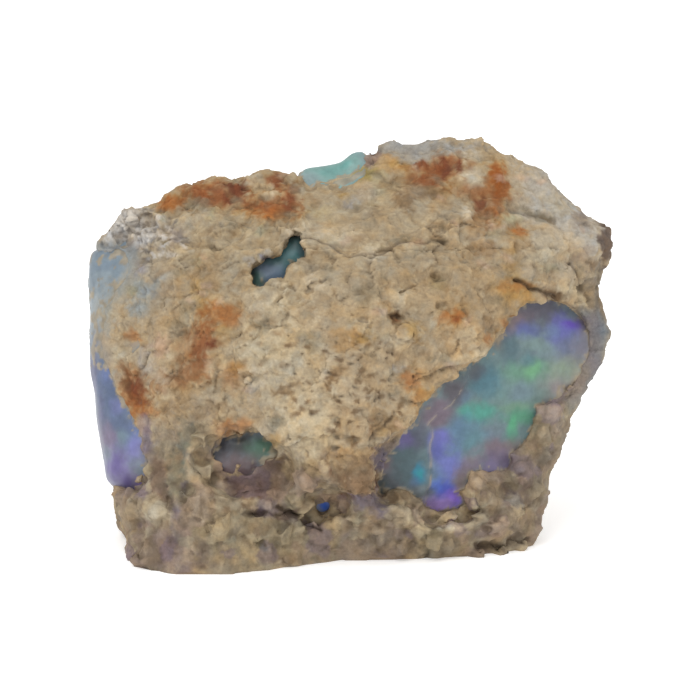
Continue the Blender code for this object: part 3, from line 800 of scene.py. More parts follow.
LUMPS = [
    (-16.6, 5.4, 0.95, 0.6), (10.6, 8.2, 0.77, 0.6), (10.8, 6.1, 0.86, 0.6), (8.6, 4.8, 1.03, 0.8),
    (17.3, 14.2, 1.12, 0.6), (16.3, 12.3, 0.86, 0.5), (0.4, 8.2, 1.46, 0.6), (-8.6, 7.2, 1.55, 0.5),
    (-13.1, 8.7, 1.2, 0.5), (-17.6, 9.1, 0.77, 0.5), (-11.1, 4.3, 1.03, 0.4), (-3.9, 8.2, 1.12, 0.5),
    (-4.3, 6.3, 0.95, 0.4), (14.6, 9.3, 0.77, 0.4), (-3.0, 3.5, 1.03, 0.3), (4.5, 23.7, 0.95, 0.3),
    (7.1, 21.6, 0.77, 0.3), (0.9, 26.8, 1.03, 0.3), (-4.5, 22.8, 0.86, 0.25), (-16.5, 19.7, 0.86, 0.25),
    (-16.8, 16.2, 0.95, 0.25), (-6.6, 32.6, 0.77, 0.3), (10.8, 34.3, 1.2, 0.3), (10.1, 31.1, 0.69, 0.3),
    (-9.0, 34.0, 0.77, 0.3), (-11.8, 24.6, 0.52, 0.25), (-13.9, 23.3, 0.6, 0.25), (-4.3, 13.0, 1.55, 0.3),
    (-8.6, 19.4, 1.38, 0.3), (17.2, 28.3, 1.55, 0.25), (-19.8, 5.5, 0.69, 0.4), (-19.1, 31.1, 1.63, 0.8),
    (-17.9, 0.8, 2.06, 1), (12.6, 1.3, 1.38, 0.6), (-18.5, 3.1, 1.03, 0.35), (-14.6, 2.6, 1.03, 0.3),
    (3.9, 4.4, 1.03, 0.35), (13.3, 4.8, 0.86, 0.4),
]
SAND_PITS, SAND_PIT_SEED = 110, 11  # small pits in the middle of the crust
SAND_PIT_U, SAND_PIT_V = (-8.0, 7.5), (9.5, 20.5)  # between these
SAND_PIT_RADIUS, SAND_PIT_STRETCH = (0.10, 0.24), (0.5, 1.0)
SHORE_CALM = 1.5  # the relief is calmer this near to a shore

# %% [markdown]
# ## Relief of the rock
#
# Now the skin is pushed in and out along its own normals: soft lumps of three sizes all over,
# flakes whose faces stand at slightly different levels, then the cracks, ledges, hollows and lumps.
# Marks on the face only act where the skin faces forward, so the back isn't stamped with them.
# Noise is given as (height in mm, size in mm, seed).
# Nothing moves where the skin lies inside the opal, so the core stays hidden.

# %% Relief of the rock
WARP_SEEDS = (1, 2, 3)  # noise bends the joints between flakes and the edges of marks
MARK_BEND = 0.35
BROAD_LUMPS, FINE_LUMPS = (0.18, 3.0, 4), (0.04, 0.42, 7)
MIDDLE_HEIGHT, MIDDLE_LEAST, MIDDLE_SIZE, MIDDLE_SEED = 0.08, 0.4, 0.8, 6
SPLINTERS = [(1.0, 1.8, 51), (0.6, 0.9, 52), (0.35, 0.45, 53)]
SPLINTER_STRETCH = np.array([0.75, 1.2, 1.0])  # splinters lie along the stone's bedding
SPLINTER_HEIGHT = 0.3
PLATES, FLAKES, CHIPS, SAND = (1.9, 8), (0.85, 9), (0.42, 11), (0.5, 10)  # size in mm, seed
PLATE_BEND, FLAKE_BEND, CHIP_BEND = 0.55, 0.35, 0.2
PLATE_LIFT, FLAKE_LIFT, CHIP_LIFT = 0.12, 0.05, 0.04  # how much their levels differ, in mm
PLATE_TILT, FLAKE_TILT, CHIP_TILT = 0.08, 0.07, 0.07  # and how much each is tilted
FLAKE_JOINT, CHIP_JOINT, SAND_JOINT = 0.2, 0.12, 0.25  # width of the joints between two of a kind
SAND_HEIGHT, JOINT_DARK = 0.12, 0.12
# How dark low spots, pits, cracks and hollows are painted, as painted shade in these recesses.
MIDDLE_DEEP, MIDDLE_DARK, PIT_DARK, CRACK_DARK, HOLLOW_DARK = 0.25, 0.7, 2.0, 0.9, 0.25
SMOOTH_CALM, GRIT_CALM = 0.4, 0.65  # how much less rough the smooth top and the grit bed are
BACK_ROUGH, SHORE_ROUGH = 0.65, 0.2  # how rough the back is, and the skin at a shore
HOLLOW_SOFT = 1.3
TERRACES, TERRACE_CLIFF = 3.0, 0.35
TONE_SPREAD = 0.618  # two ledges that lie next to each other get tones far apart
JOINT_DIRT = (2.0, 2.0, 13)  # dirt lies in some joints only
LEDGE_CLIFF, LEDGE_FADE = 0.5, 2.2  # width of a ledge's cliff, and how far the ledge reaches from it
ROCK_WEAR, ROCK_WEAR_FOOT = 0.35, 28.0  # weather has worn the top, above this height


def warp_of(points):
    """Three fields of noise that bend what is drawn on the stone."""
    return np.stack([lumps_of(points, 1.1, seed) for seed in WARP_SEEDS], axis=1)


def sand_pits(u, v):
    """Small pits, scattered over the middle of the crust."""
    rng = np.random.default_rng(SAND_PIT_SEED)
    depth = np.zeros(len(u))
    for _ in range(SAND_PITS):
        spot_u, spot_v = rng.uniform(*SAND_PIT_U), rng.uniform(*SAND_PIT_V)
        radius, stretch = rng.uniform(*SAND_PIT_RADIUS), rng.uniform(*SAND_PIT_STRETCH)
        reach = np.hypot(stretch * (u - spot_u), v - spot_v) / radius
        depth = np.maximum(depth, np.clip(1.0 - reach, 0.0, 1.0) * radius)
    return depth


def rock_relief(points, normals):
    """Height to add at each point in mm, the tone of its flake, and how dark it is painted: dark joints,
    and painted shade in low spots, pits, cracks and hollows.
    """
    warp = warp_of(points)
    bent = points + MARK_BEND * warp
    u, v = bent[:, 0], bent[:, 1]
    front = facing_front(normals)
    grit = zone(u, v, GRIT_BED) * front
    smooth = zone(u, v, SMOOTH_TOP, 2.0) * front
    pitted = zone(u, v, PITTED, 2.0) * front
    grey_sand = zone(u, v, GREY_SAND, 0.8) * front

    rough = (1.0 - SMOOTH_CALM * smooth) * (1.0 - GRIT_CALM * grit)
    rough = rough * (BACK_ROUGH + (1.0 - BACK_ROUGH) * front)
    middle = lumps_of(points, MIDDLE_SIZE, MIDDLE_SEED)
    height = layered(points, [BROAD_LUMPS]) * rough
    height += MIDDLE_HEIGHT * middle * (MIDDLE_LEAST + (1.0 - MIDDLE_LEAST) * rough)
    height += layered(points, [FINE_LUMPS])
    splinters = layered(points * SPLINTER_STRETCH, SPLINTERS)
    ledges, ledge = terraced(splinters, TERRACES, TERRACE_CLIFF)
    height += SPLINTER_HEIGHT * rough * ledges

    # Plates, flakes and chips: each stands at its own level on a facet with its own tilt.
    _, _, plate, plate_facet = grains_of(points + PLATE_BEND * warp, *PLATES)
    near, next_near, flake, flake_facet = grains_of(points + FLAKE_BEND * warp, *FLAKES)
    chip_near, chip_next, chip, chip_facet = grains_of(points + CHIP_BEND * warp, *CHIPS)
    rise = smooth_step((next_near - near) / FLAKE_JOINT)
    height += rough * (PLATE_LIFT * (plate - 0.5) + PLATE_TILT * plate_facet)
    height += rough * (FLAKE_LIFT * (flake - 0.5) * rise + FLAKE_TILT * flake_facet)
    chip_rise = smooth_step((chip_next - chip_near) / CHIP_JOINT)
    height += rough * (CHIP_LIFT * (chip - 0.5) + CHIP_TILT * chip_facet) * chip_rise
    sand_near, sand_next, _, _ = grains_of(points, *SAND)
    sand_rise = smooth_step((sand_next - sand_near) / SAND_JOINT)
    height += SAND_HEIGHT * grey_sand * (sand_rise - 0.5)

    # Painted shade in low spots, pits, cracks and hollows, with the dark joints between flakes.
    crevice_dirt_and_shade = MIDDLE_DARK * np.clip(-middle - MIDDLE_DEEP, 0.0, 1.0) * rough
    crevice_dirt_and_shade += JOINT_DARK * (1.0 - rise) * smooth_step(layered(points, [JOINT_DIRT]))
    crevice_dirt_and_shade += JOINT_DARK * grey_sand * (1.0 - sand_rise)
    pits = sand_pits(u, v) * (0.2 + pitted) * front
    height -= pits
    crevice_dirt_and_shade += PIT_DARK * pits
    for _, width, depth, path in CRACKS:
        reach, _ = path_reach(u, v, path)
        groove = np.exp(-((reach / width) ** 2)) * front
        height -= depth * groove
        crevice_dirt_and_shade += CRACK_DARK * groove
    for _, drop, path in LEDGES:
        reach, side = path_reach(u, v, path)
        fade = np.exp(-((reach / LEDGE_FADE) ** 2)) * front
        height += drop * step_over(reach, side, LEDGE_CLIFF) * fade
    for spot_u, spot_v, *radii, depth in HOLLOWS:
        inside = patch(u, v, (spot_u, spot_v, *radii), HOLLOW_SOFT) * front
        height -= depth * inside
        crevice_dirt_and_shade += HOLLOW_DARK * depth * inside
    for spot_u, spot_v, radius, rise in LUMPS:
        reach = np.hypot(points[:, 0] - spot_u, points[:, 1] - spot_v) / radius
        height += rise * smooth_step(1.0 - reach) * front
    height -= worn_top(points, normals, ROCK_WEAR, ROCK_WEAR_FOOT)
    calm = np.ones(len(u))
    for path, *_ in SHORES:
        reach, _ = path_reach(u, v, path)
        calm = np.minimum(calm, SHORE_ROUGH + (1.0 - SHORE_ROUGH) * reach / SHORE_CALM)
    tone = 0.2 * plate + 0.2 * flake + 0.2 * chip + 0.4 * ((ledge * TONE_SPREAD) % 1.0)
    return height * calm, tone, np.clip(crevice_dirt_and_shade, 0.0, 1.0)


def cover_of(points, other, fade):
    """0 where a point lies inside the other body, rising to 1 at a distance of fade outside it."""
    tree = skin_tree(other)
    ahead = Vector(INTO_STONE)
    cover = np.ones(len(points))
    for i, point in enumerate(map(Vector, points)):
        place, normal, _, reach = tree.find_nearest(point, 2.0 * fade)
        if place is not None:
            cover[i] = reach / fade if (point - place).dot(normal) > 0.0 else 0.0
            continue
        # Far from the other skin, a ray that leaves the body shows that the point lies inside it.
        place, normal, _, _ = tree.ray_cast(point, ahead)
        if place is not None and normal.dot(ahead) > 0.0:
            cover[i] = 0.0
    return smooth_step(cover)


CAVITY_SMOOTHING = 14
FOOT_FADE = 0.6 * MM  # the relief fades out towards the table
OPAL_FADE = 0.25 * MM  # and towards the opal


def cavity_of(obj):
    """How far each point lies below its smoothed surroundings, in mm; negative on edges and crests."""
    calm = obj.copy()
    calm.data = obj.data.copy()
    bpy.context.scene.collection.objects.link(calm)
    apply_modifier(calm, "SMOOTH", factor=0.5, iterations=CAVITY_SMOOTHING)
    below = np.einsum("ij,ij->i", points_of(calm) - points_of(obj), normals_of(obj)) / MM
    bpy.data.objects.remove(calm)
    return below


rest_points = points_of(rock)
rock_points = to_seam(rest_points)
rock_normals = normals_of(rock) @ SEAM_AXES.T
above_foot = smooth_step(rest_points[:, 2] / FOOT_FADE)
outside_opal = cover_of(rest_points, opal, OPAL_FADE)
height, tone, crevice_dirt_and_shade = rock_relief(rock_points, rock_normals)
height *= above_foot * outside_opal
moved = to_world(rock_points + rock_normals * height[:, None])
moved[:, 2] = np.maximum(moved[:, 2], 0.0)
move_points(rock, moved)
store(rock, "tone", tone)
store(rock, "crevice_dirt_and_shade", crevice_dirt_and_shade)
store(rock, "cavity", cavity_of(rock))
print("relief from", round(height.min(), 2), "to", round(height.max(), 2), "mm")

# %% [markdown]
# ## Thin out the skin
#
# The voxel remesh gives more points than needed. The face keeps the most triangles, the sides and
# the back keep half as many, and the foot and the places that the opal covers keep very few.

# %% Thin out the rock
COVERED, BEHIND, AHEAD = 0.0, 1.0, 2.0
SKIN_FACES = {COVERED: 6000, BEHIND: 62000, AHEAD: 126000}
FOOT_FACE = 0.02 * MM  # the foot is what lies below this


def thin_out(obj, place, faces):
    """Merges the faces of one place of the skin down to a number of triangles."""
    chosen = (np.round(read(obj, "place"))[corners_of(obj)] == place).all(axis=1)
    edit_some(obj, "FACE", obj.data.polygons, chosen)
    bpy.ops.mesh.decimate(ratio=min(1.0, faces / max(1, chosen.sum())))
    close_edit()
    print("skin", int(place), "from", chosen.sum(), "to", faces)


edit_all(rock)
bpy.ops.mesh.quads_convert_to_tris()
close_edit()
place = np.where(rock_normals[:, 2] < 0.25, AHEAD, BEHIND)
place[(outside_opal < 0.05) | (rest_points[:, 2] < FOOT_FACE)] = COVERED
store(rock, "place", place)
for which, faces in SKIN_FACES.items():
    thin_out(rock, which, faces)

# Thinning leaves a pair of triangles or two, back to back and joined to nothing. Their points are the
# only ones with fewer than three triangles round them.
stray = np.bincount(corners_of(rock).ravel(), minlength=len(rock.data.vertices)) < 3
edit_some(rock, "VERT", rock.data.vertices, stray)
bpy.ops.mesh.delete(type="VERT")
close_edit()
print("stray points removed:", stray.sum())
rock.data.shade_smooth()
print("host rock:", len(rock.data.polygons), "triangles")

# %% [markdown]
# ## Mineral colours of the rock
#
# Colour on a stone comes in stains that ignore its relief: limonite ochre, rust, bleached cream.
# Each stain below is a colour and a list of patches, laid one over the other: a strength, a place
# (u, v), half the width, half the height and, if any, a turn in degrees. Noise bends their edges
# at two sizes.

# %% Stains of the rock
ROCK_STAINS = [
    ("grey beige", "a49a8a", [
        (0.8, 3.5, 36.8, 1.63, 0.86), (0.75, -16.8, 28.6, 5.16, 4.08), (0.7, 5.8, 36.8, 4.51, 1.03),
        (0.35, 18.1, 29.5, 3.44, 5.8),
    ]),
    ("light grey", "bab3a7", [
        (0.85, 17.7, 32.7, 3.78, 3.18, -35), (0.75, 19.8, 29.4, 2.75, 2.45, -20),
        (0.4, 17.6, 33.1, 2.15, 1.63, -30),
    ]),
    ("top grey rock", "9f9b94", [(0.8, 6.2, 36.8, 4.64, 1.03)]),
    ("dull beige", "a8977b", [
        (0.8, -10.1, 27.6, 5.8, 3.87), (0.4, -9.3, 27.9, 1.72, 0.95), (0.6, -0.6, 31.8, 3.65, 2.24),
        (0.4, 3.4, 25.4, 7.74, 3.44),
    ]),
    ("sandy beige", "b3a084", [
        (0.5, -17.0, 18.1, 4.08, 5.59), (0.5, -2.8, 16.8, 8.81, 7.74), (0.4, 9.9, 19.6, 3.01, 2.36),
        (0.5, 17.9, 26.9, 2.88, 3.22),
    ]),
    ("mauve grey", "a9a4a1", [
        (0.85, -19.2, 29.9, 1.98, 1.89, 35), (0.75, -14.8, 29.2, 0.69, 0.6), (0.5, 0.1, 32.0, 0.43, 0.39),
        (0.5, -17.7, 18.6, 0.69, 1.29), (0.4, -8.5, 27.1, 0.43, 0.43),
    ]),
    ("pale grey", "b0a799", [
        (0.5, 1.6, 33.0, 1.46, 0.69, 10), (0.4, 11.6, 28.9, 1.29, 0.6),
        (0.6, 17.8, 32.7, 2.36, 1.46, -40), (0.5, -20.8, 28.8, 0.69, 0.77), (0.8, 4.2, 17.7, 0.56, 0.39),
        (0.45, -8.3, 16.6, 0.69, 1.46), (0.5, -2.2, 17.5, 0.52, 0.52),
    ]),
    ("cream", "bfb094", [
        (0.5, 5.8, 30.5, 1.93, 0.77, -8), (0.4, -2.4, 31.2, 1.93, 0.77),
        (0.5, 18.0, 32.0, 1.63, 0.77, -25), (0.8, -17.1, 31.5, 1.16, 0.56, -15),
        (0.55, -4.6, 17.0, 2.92, 7.95, 12), (0.85, -7.7, 19.3, 2.75, 1.81, 22),
        (0.7, -5.3, 22.8, 1.03, 1.72, 15), (0.75, -3.9, 12.5, 2.15, 2.58),
        (0.8, -1.5, 28.9, 1.2, 0.69, -15), (0.8, 2.1, 28.3, 1.03, 0.43, 5), (0.8, 4.5, 23.8, 0.86, 0.86),
        (0.8, 7.2, 21.7, 0.6, 0.82, 10), (0.8, 10.1, 20.9, 0.69, 0.34), (0.5, 4.8, 20.1, 1.2, 0.52),
        (0.8, 9.5, 18.9, 2.49, 0.47, 8), (0.6, 11.0, 18.7, 0.69, 0.69, 50), (0.4, 17.2, 28.3, 2.02, 1.33),
        (0.7, 16.2, 27.5, 1.2, 0.64), (0.6, 16.3, 25.1, 0.69, 0.69), (0.7, 19.5, 24.0, 2.02, 0.6, -22),
        (0.6, -9.0, 29.3, 0.47, 0.3), (0.7, 1.2, 21.3, 1.03, 0.47, -15),
        (0.7, -19.9, 18.8, 0.43, 1.12, -8), (0.8, -17.4, 16.1, 0.43, 0.86),
        (0.5, -13.8, 22.0, 0.6, 0.86, -15), (0.5, -14.4, 30.7, 1.2, 0.43),
        (0.4, -13.2, 29.4, 0.34, 0.86, -15), (0.4, -14.1, 29.3, 0.34, 0.47),
        (0.4, -14.8, 27.3, 0.52, 0.69, -40), (0.3, 9.0, 16.1, 0.6, 0.69), (0.4, 12.3, 24.7, 0.6, 0.69),
        (0.6, 5.2, 28.3, 0.52, 0.34), (0.5, 4.6, 24.6, 0.43, 0.43),
    ]),
    ("pinkish", "bea28c", [
        (0.85, 12.6, 30.1, 1.03, 0.34), (0.75, -16.3, 19.7, 0.73, 0.95), (0.5, 5.8, 28.6, 0.6, 0.26),
        (0.4, -16.3, 17.0, 0.86, 0.86), (0.2, -4.9, 28.6, 0.6, 0.26),
    ]),
    ("white", "cabea8", [
        (0.65, -6.6, 32.7, 0.95, 0.64, -15), (0.95, 10.8, 34.2, 1.5, 0.82, 12),
        (0.85, 10.0, 31.1, 0.6, 0.56), (0.5, 10.7, 36.1, 0.69, 0.52), (0.6, -8.5, 34.2, 0.6, 0.47),
        (0.7, 6.0, 35.3, 0.56, 0.39, -20),
    ]),
    ("pale green", "a5a283", [
        (0.6, 13.8, 30.7, 0.95, 0.6), (0.5, -16.1, 31.1, 0.26, 0.52), (0.4, 17.2, 26.5, 0.86, 0.43),
        (0.4, 2.6, 34.0, 0.69, 1.72), (0.4, -11.9, 31.1, 0.34, 0.73), (0.4, -7.6, 29.6, 0.52, 0.43),
    ]),
    ("haze blue", "8d9596", [
        (0.9, -20.3, 26.4, 1.85, 1.98), (0.75, -17.8, 24.7, 2.15, 0.82, -5),
        (0.75, -18.2, 23.0, 0.95, 0.86), (0.8, -21.2, 23.4, 0.73, 2.32), (0.5, -20.3, 17.0, 0.64, 0.52),
        (0.6, -7.1, 27.4, 0.6, 0.43),
    ]),
    ("haze violet", "8a8494", [
        (0.8, -7.1, 27.3, 0.43, 0.34), (0.6, -17.6, 11.7, 0.56, 1.07, -15),
        (0.5, -17.4, 10.5, 0.69, 0.73), (0.4, -18.1, 26.5, 0.52, 0.43),
    ]),
    ("olive", "948a63", [
        (0.6, -15.9, 29.0, 0.3, 0.69), (0.6, -19.0, 24.5, 0.6, 0.43), (0.85, 0.9, 34.7, 1.2, 0.47),
        (0.3, -2.6, 31.2, 0.86, 0.6), (0.5, 7.5, 25.1, 0.6, 0.52), (0.5, -13.6, 32.6, 0.56, 0.34),
        (0.2, 2.8, 20.7, 0.69, 0.6), (0.3, 12.2, 29.3, 0.69, 0.43), (0.3, -13.1, 27.0, 0.52, 0.56),
    ]),
    ("tan", "a88c66", [
        (0.9, 0.3, 20.2, 1.63, 0.95), (0.3, 8.5, 23.4, 6.11, 3.57), (0.4, 7.7, 17.5, 2.58, 2.36),
        (0.6, -12.2, 25.9, 1.46, 1.55), (0.8, 3.4, 35.4, 2.06, 0.86, -8),
        (0.7, 8.0, 33.2, 0.64, 1.12, -35), (0.6, 7.7, 32.0, 0.9, 0.69), (0.8, -0.4, 10.3, 2.15, 1.03),
        (0.6, 3.0, 23.3, 0.6, 0.43), (0.3, -4.3, 22.4, 0.86, 1.29), (0.5, -15.3, 24.6, 1.03, 0.86, 40),
        (0.4, -9.2, 30.2, 0.6, 0.34), (0.5, 10.1, 28.7, 1.55, 1.2, -15), (0.7, 14.3, 28.8, 1.2, 0.95),
        (0.4, 9.7, 23.2, 1.29, 0.52), (0.5, 4.0, 13.2, 0.69, 1.5, 35), (0.3, -10.8, 22.4, 1.72, 1.29),
        (0.4, -13.8, 15.7, 0.86, 0.77), (0.5, -14.8, 14.1, 1.93, 1.03), (0.4, 6.1, 14.8, 0.95, 0.6, 30),
        (0.5, 2.8, 13.2, 0.86, 1.55, 30), (0.3, 9.7, 11.2, 0.77, 0.43),
    ]),
    ("ochre", "ad8a50", [
        (0.75, 14.5, 24.5, 1.46, 1.12), (0.5, 13.9, 26.4, 0.69, 0.95), (0.7, -13.0, 24.6, 0.6, 1.03),
        (0.7, 4.2, 35.3, 1.12, 0.43, -15), (0.7, -0.7, 32.9, 0.47, 0.34),
        (0.7, 6.4, 15.7, 0.77, 0.73, 25), (0.6, -12.5, 23.0, 0.47, 0.69),
        (0.8, -9.8, 17.8, 0.64, 0.6, 20), (0.5, -14.6, 32.7, 0.86, 0.3, 10),
        (0.7, 1.0, 20.2, 0.86, 0.43, -8), (0.7, 5.5, 21.1, 0.86, 0.69, -40), (0.5, 1.7, 21.0, 0.34, 0.43),
        (0.5, 2.8, 11.8, 0.6, 0.86, 30), (0.3, 12.6, 30.3, 0.52, 0.43), (0.5, -10.8, 20.9, 1.29, 0.52),
        (0.4, 7.3, 14.4, 0.6, 0.69, 35), (0.6, -6.4, 11.5, 0.52, 0.52, -40),
        (0.4, 13.6, 28.0, 0.69, 0.52),
    ]),
    ("orange", "a4652f", [
        (0.8, 12.6, 33.8, 0.77, 1.12), (0.9, -15.4, 32.0, 1.25, 0.6, -5), (0.7, 5.2, 16.8, 0.77, 0.73),
        (0.75, 8.9, 22.3, 1.2, 0.52, 12), (0.8, 14.4, 29.6, 0.56, 0.3), (0.9, 12.7, 34.2, 0.6, 0.99),
        (0.85, -6.8, 31.3, 1.63, 0.64, -5), (0.7, -18.2, 14.4, 0.64, 0.86, -30),
        (0.6, 13.5, 21.8, 0.64, 0.43, 20), (0.6, 11.9, 20.4, 0.34, 0.34),
        (0.6, -10.1, 12.7, 1.55, 0.64, 18), (0.5, 14.5, 25.0, 1.33, 0.39),
        (0.75, -10.8, 22.4, 1.72, 0.82, -8), (0.6, -18.7, 20.7, 0.69, 0.43, -10),
        (0.4, 6.1, 15.5, 0.82, 0.43, 25), (0.7, 12.7, 31.7, 0.52, 0.95), (0.4, 8.3, 35.8, 0.52, 0.26),
        (0.5, -17.2, 14.2, 0.86, 0.52), (0.2, 1.9, 12.7, 0.34, 0.69),
    ]),
    ("rust", "88512f", [
        (0.8, -13.1, 32.9, 0.69, 0.9), (0.8, -18.7, 15.4, 0.69, 1.12, -20),
        (0.9, -11.2, 32.9, 2.75, 1.16), (0.9, -6.3, 33.9, 0.86, 0.64, -30), (0.9, -5.1, 32.3, 0.82, 1.2),
        (0.7, -7.0, 31.9, 1.38, 0.6, -8), (0.85, -12.5, 19.9, 0.86, 2.06, -12),
        (0.5, -13.9, 17.3, 1.55, 0.86, 8), (0.95, -18.5, 15.9, 1.25, 1.81, 18),
        (0.85, 7.6, 35.0, 2.36, 0.99, 5), (0.9, 6.5, 33.8, 1.38, 0.6), (0.6, 11.2, 32.9, 2.41, 0.56, -8),
        (0.5, 11.9, 31.6, 1.25, 1.2), (0.4, -13.7, 19.3, 1.29, 1.81, -15), (0.4, -10.1, 17.3, 0.95, 1.12),
        (0.4, -16.3, 15.9, 0.86, 0.43), (0.8, 4.0, 21.9, 0.34, 0.26), (0.9, 9.0, 22.2, 0.39, 0.26),
        (0.5, -8.8, 32.0, 0.69, 0.6), (0.8, 12.6, 31.1, 0.26, 0.34),
    ]),
    ("red brown", "6d3a26", [
        (0.85, -9.8, 33.0, 1.2, 0.86), (0.8, 6.3, 35.6, 0.77, 0.34), (0.8, 8.2, 35.1, 0.39, 0.77),
        (0.9, 9.6, 35.2, 0.47, 0.43, 40), (0.5, -4.8, 33.2, 0.39, 0.52),
        (0.6, -18.3, 16.3, 0.77, 0.69, 10), (0.5, -5.1, 32.1, 0.56, 0.52), (0.5, 7.5, 35.3, 0.26, 0.6),
        (0.8, -12.0, 19.8, 0.34, 0.43), (0.4, -6.4, 34.0, 0.52, 0.34, -30), (0.8, 11.3, 32.0, 0.39, 0.64),
    ]),
    ("dark brown", "5d432b", [
        (0.43, -8.0, 32.2, 0.75, 0.29, 25), (0.55, -19.2, 16.3, 0.39, 1.42, 8),
        (0.9, -6.4, 8.5, 1.12, 1.76, -18), (0.95, 3.9, 22.3, 0.43, 0.39, -35),
        (0.8, 17.7, 24.0, 1.72, 0.56, -26), (0.43, -14.9, 17.0, 0.7, 0.32, 4),
        (0.31, -9.2, 17.3, 0.86, 0.19, -12), (0.28, 2.0, 31.3, 0.75, 0.42, 20),
        (0.75, 13.3, 7.2, 0.6, 0.77), (0.7, 15.0, 7.6, 0.52, 1.07), (0.8, -1.8, 6.0, 0.6, 0.64, -40),
        (0.5, -4.1, 5.0, 2.41, 1.03, -42), (0.85, 12.9, 2.4, 2.06, 0.69, 8),
        (0.5, 2.7, 10.2, 0.43, 1.12, 30), (0.6, -2.4, 7.9, 0.34, 0.52), (0.3, 10.8, 2.4, 0.34, 1.03),
        (0.7, -17.9, 4.3, 0.34, 0.69), (0.6, -16.6, 4.3, 0.43, 0.34), (0.6, -10.1, 1.3, 0.34, 0.47),
        (0.6, -2.6, 2.2, 0.69, 0.47), (0.5, 10.1, 5.4, 0.69, 0.64),
    ]),
    ("brown stain", "82694b", [
        (0.85, 7.0, 33.0, 0.95, 0.52, -5), (0.8, 4.5, 32.1, 0.86, 1.03, 35), (0.5, 7.7, 30.0, 0.95, 0.43),
        (0.6, 11.8, 21.5, 0.6, 0.86, 50), (0.25, 13.7, 21.9, 0.7, 0.32, 2),
        (0.85, -1.9, 16.6, 0.34, 0.77, -10), (0.7, -1.1, 17.5, 0.77, 0.47, 35),
        (0.46, -4.6, 16.3, 0.7, 0.39, 30), (0.75, -5.8, 15.8, 0.82, 0.43),
        (0.5, -5.5, 18.2, 0.7, 0.23, 15), (0.43, -3.3, 22.6, 0.75, 0.26, -25),
        (0.37, 6.6, 18.9, 0.75, 0.26, -20), (0.5, -11.2, 14.6, 1.03, 0.47),
        (0.37, 14.9, 27.5, 0.75, 0.23, -2), (0.25, 18.0, 27.1, 0.86, 0.19, 5),
        (0.25, 0.3, 18.5, 0.75, 0.26, 4), (0.3, -9.0, 11.4, 0.43, 0.26),
        (0.25, -11.2, 16.9, 0.7, 0.19, -29),
    ]),
    # The grey shade stain is painted shade under the ledges, in the groove and beside the cracks, and
    # more of it lies in small spots over the crust.
    ("grey shade", "837a66", [
        (0.25, -3.0, 29.3, 1.29, 0.26, -16), (0.5, 4.3, 28.8, 1.03, 0.3, 18),
        (0.7, 7.7, 28.6, 0.77, 0.26), (0.46, 5.8, 27.8, 0.86, 0.23, 19),
        (0.37, 2.6, 27.7, 0.75, 0.32, 25), (0.6, 15.0, 31.6, 0.95, 0.3, -12),
        (0.75, 16.7, 30.9, 1.12, 0.39, -12), (0.46, 20.0, 24.8, 0.7, 0.32, 10),
        (0.5, 19.8, 26.0, 0.34, 0.95), (0.5, 19.4, 23.2, 1.2, 0.52, -25), (0.5, 1.4, 24.1, 1.03, 0.95),
        (0.55, -3.7, 20.4, 1.29, 0.82), (0.6, -7.7, 21.6, 0.77, 0.69, 15), (0.5, -14.3, 22.5, 0.52, 0.99),
        (0.6, -13.2, 32.0, 0.86, 0.6), (0.3, -10.1, 30.1, 0.95, 0.34), (0.12, -6.9, 19.7, 0.86, 0.39, -1),
        (0.6, -6.4, 13.1, 0.47, 0.95, -20), (0.25, 2.1, 18.8, 0.75, 0.39, -5),
        (0.2, -7.7, 24.9, 0.86, 0.52), (0.22, 5.8, 23.0, 0.86, 0.45, 23), (0.3, -9.7, 15.2, 0.77, 0.43),
        (0.4, -2.6, 11.1, 0.34, 0.52), (0.6, -1.4, 11.1, 0.34, 0.26), (0.19, 11.6, 26.5, 0.75, 0.39, 30),
    ]),
    ("dark rim", "5f4c42", [
        (0.85, 22.1, 28.5, 0.64, 1.89), (0.5, 20.2, 31.0, 0.3, 0.43, -30), (0.4, 21.1, 26.1, 0.6, 0.86),
        (0.4, 21.5, 23.0, 0.52, 0.69),
    ]),
    ("rim shade", "7f7568", [
        (0.6, 21.3, 23.4, 1.2, 3.57), (0.5, 20.9, 21.8, 0.95, 1.89), (0.5, 20.4, 18.5, 1.46, 3.44, -18),
    ]),
    ("grit ground", "85786a", [
        (0.75, -15.0, 6.2, 5.59, 6.75), (0.75, -2.4, 4.6, 8.38, 4.94), (0.75, 11.2, 3.3, 6.88, 3.18),
        (0.7, 16.5, 9.6, 4.3, 5.68),
    ]),
    ("grit olive", "8b8066", [
        (0.5, -8.2, 3.3, 6.45, 3.22), (0.5, 7.1, 3.5, 3.22, 2.58), (0.5, 16.3, 11.4, 1.72, 2.36),
    ]),
    ("grit mauve", "7a6a63", [
        (0.8, -15.5, 2.2, 3.87, 1.89), (0.4, 4.0, 3.7, 2.06, 2.36), (0.5, 13.7, 8.2, 2.67, 3.44),
        (0.5, 12.9, 4.1, 1.72, 1.5),
    ]),
    ("grain cream", "ac9d83", [
        (0.75, -17.6, 8.7, 0.6, 1.33), (0.75, -13.0, 8.7, 1.38, 1.38), (0.7, -11.1, 4.3, 1.33, 1.38),
        (0.6, -12.9, 6.0, 1.38, 1.2), (0.8, 17.3, 14.1, 1.42, 0.86), (0.7, 16.4, 12.3, 0.99, 0.86),
        (0.6, 17.8, 12.5, 0.43, 0.52), (0.85, 10.8, 8.1, 0.95, 0.77, 35), (0.8, 10.9, 6.3, 0.9, 0.69),
        (0.6, 12.3, 6.2, 0.6, 0.77), (0.95, 8.3, 4.8, 1.98, 1.03, -8), (0.8, 5.9, 4.8, 1.12, 0.86),
        (0.3, -12.7, 11.1, 1.07, 1.12), (0.5, 12.6, 4.2, 1.38, 0.6), (0.4, -5.7, 3.4, 1.38, 0.82),
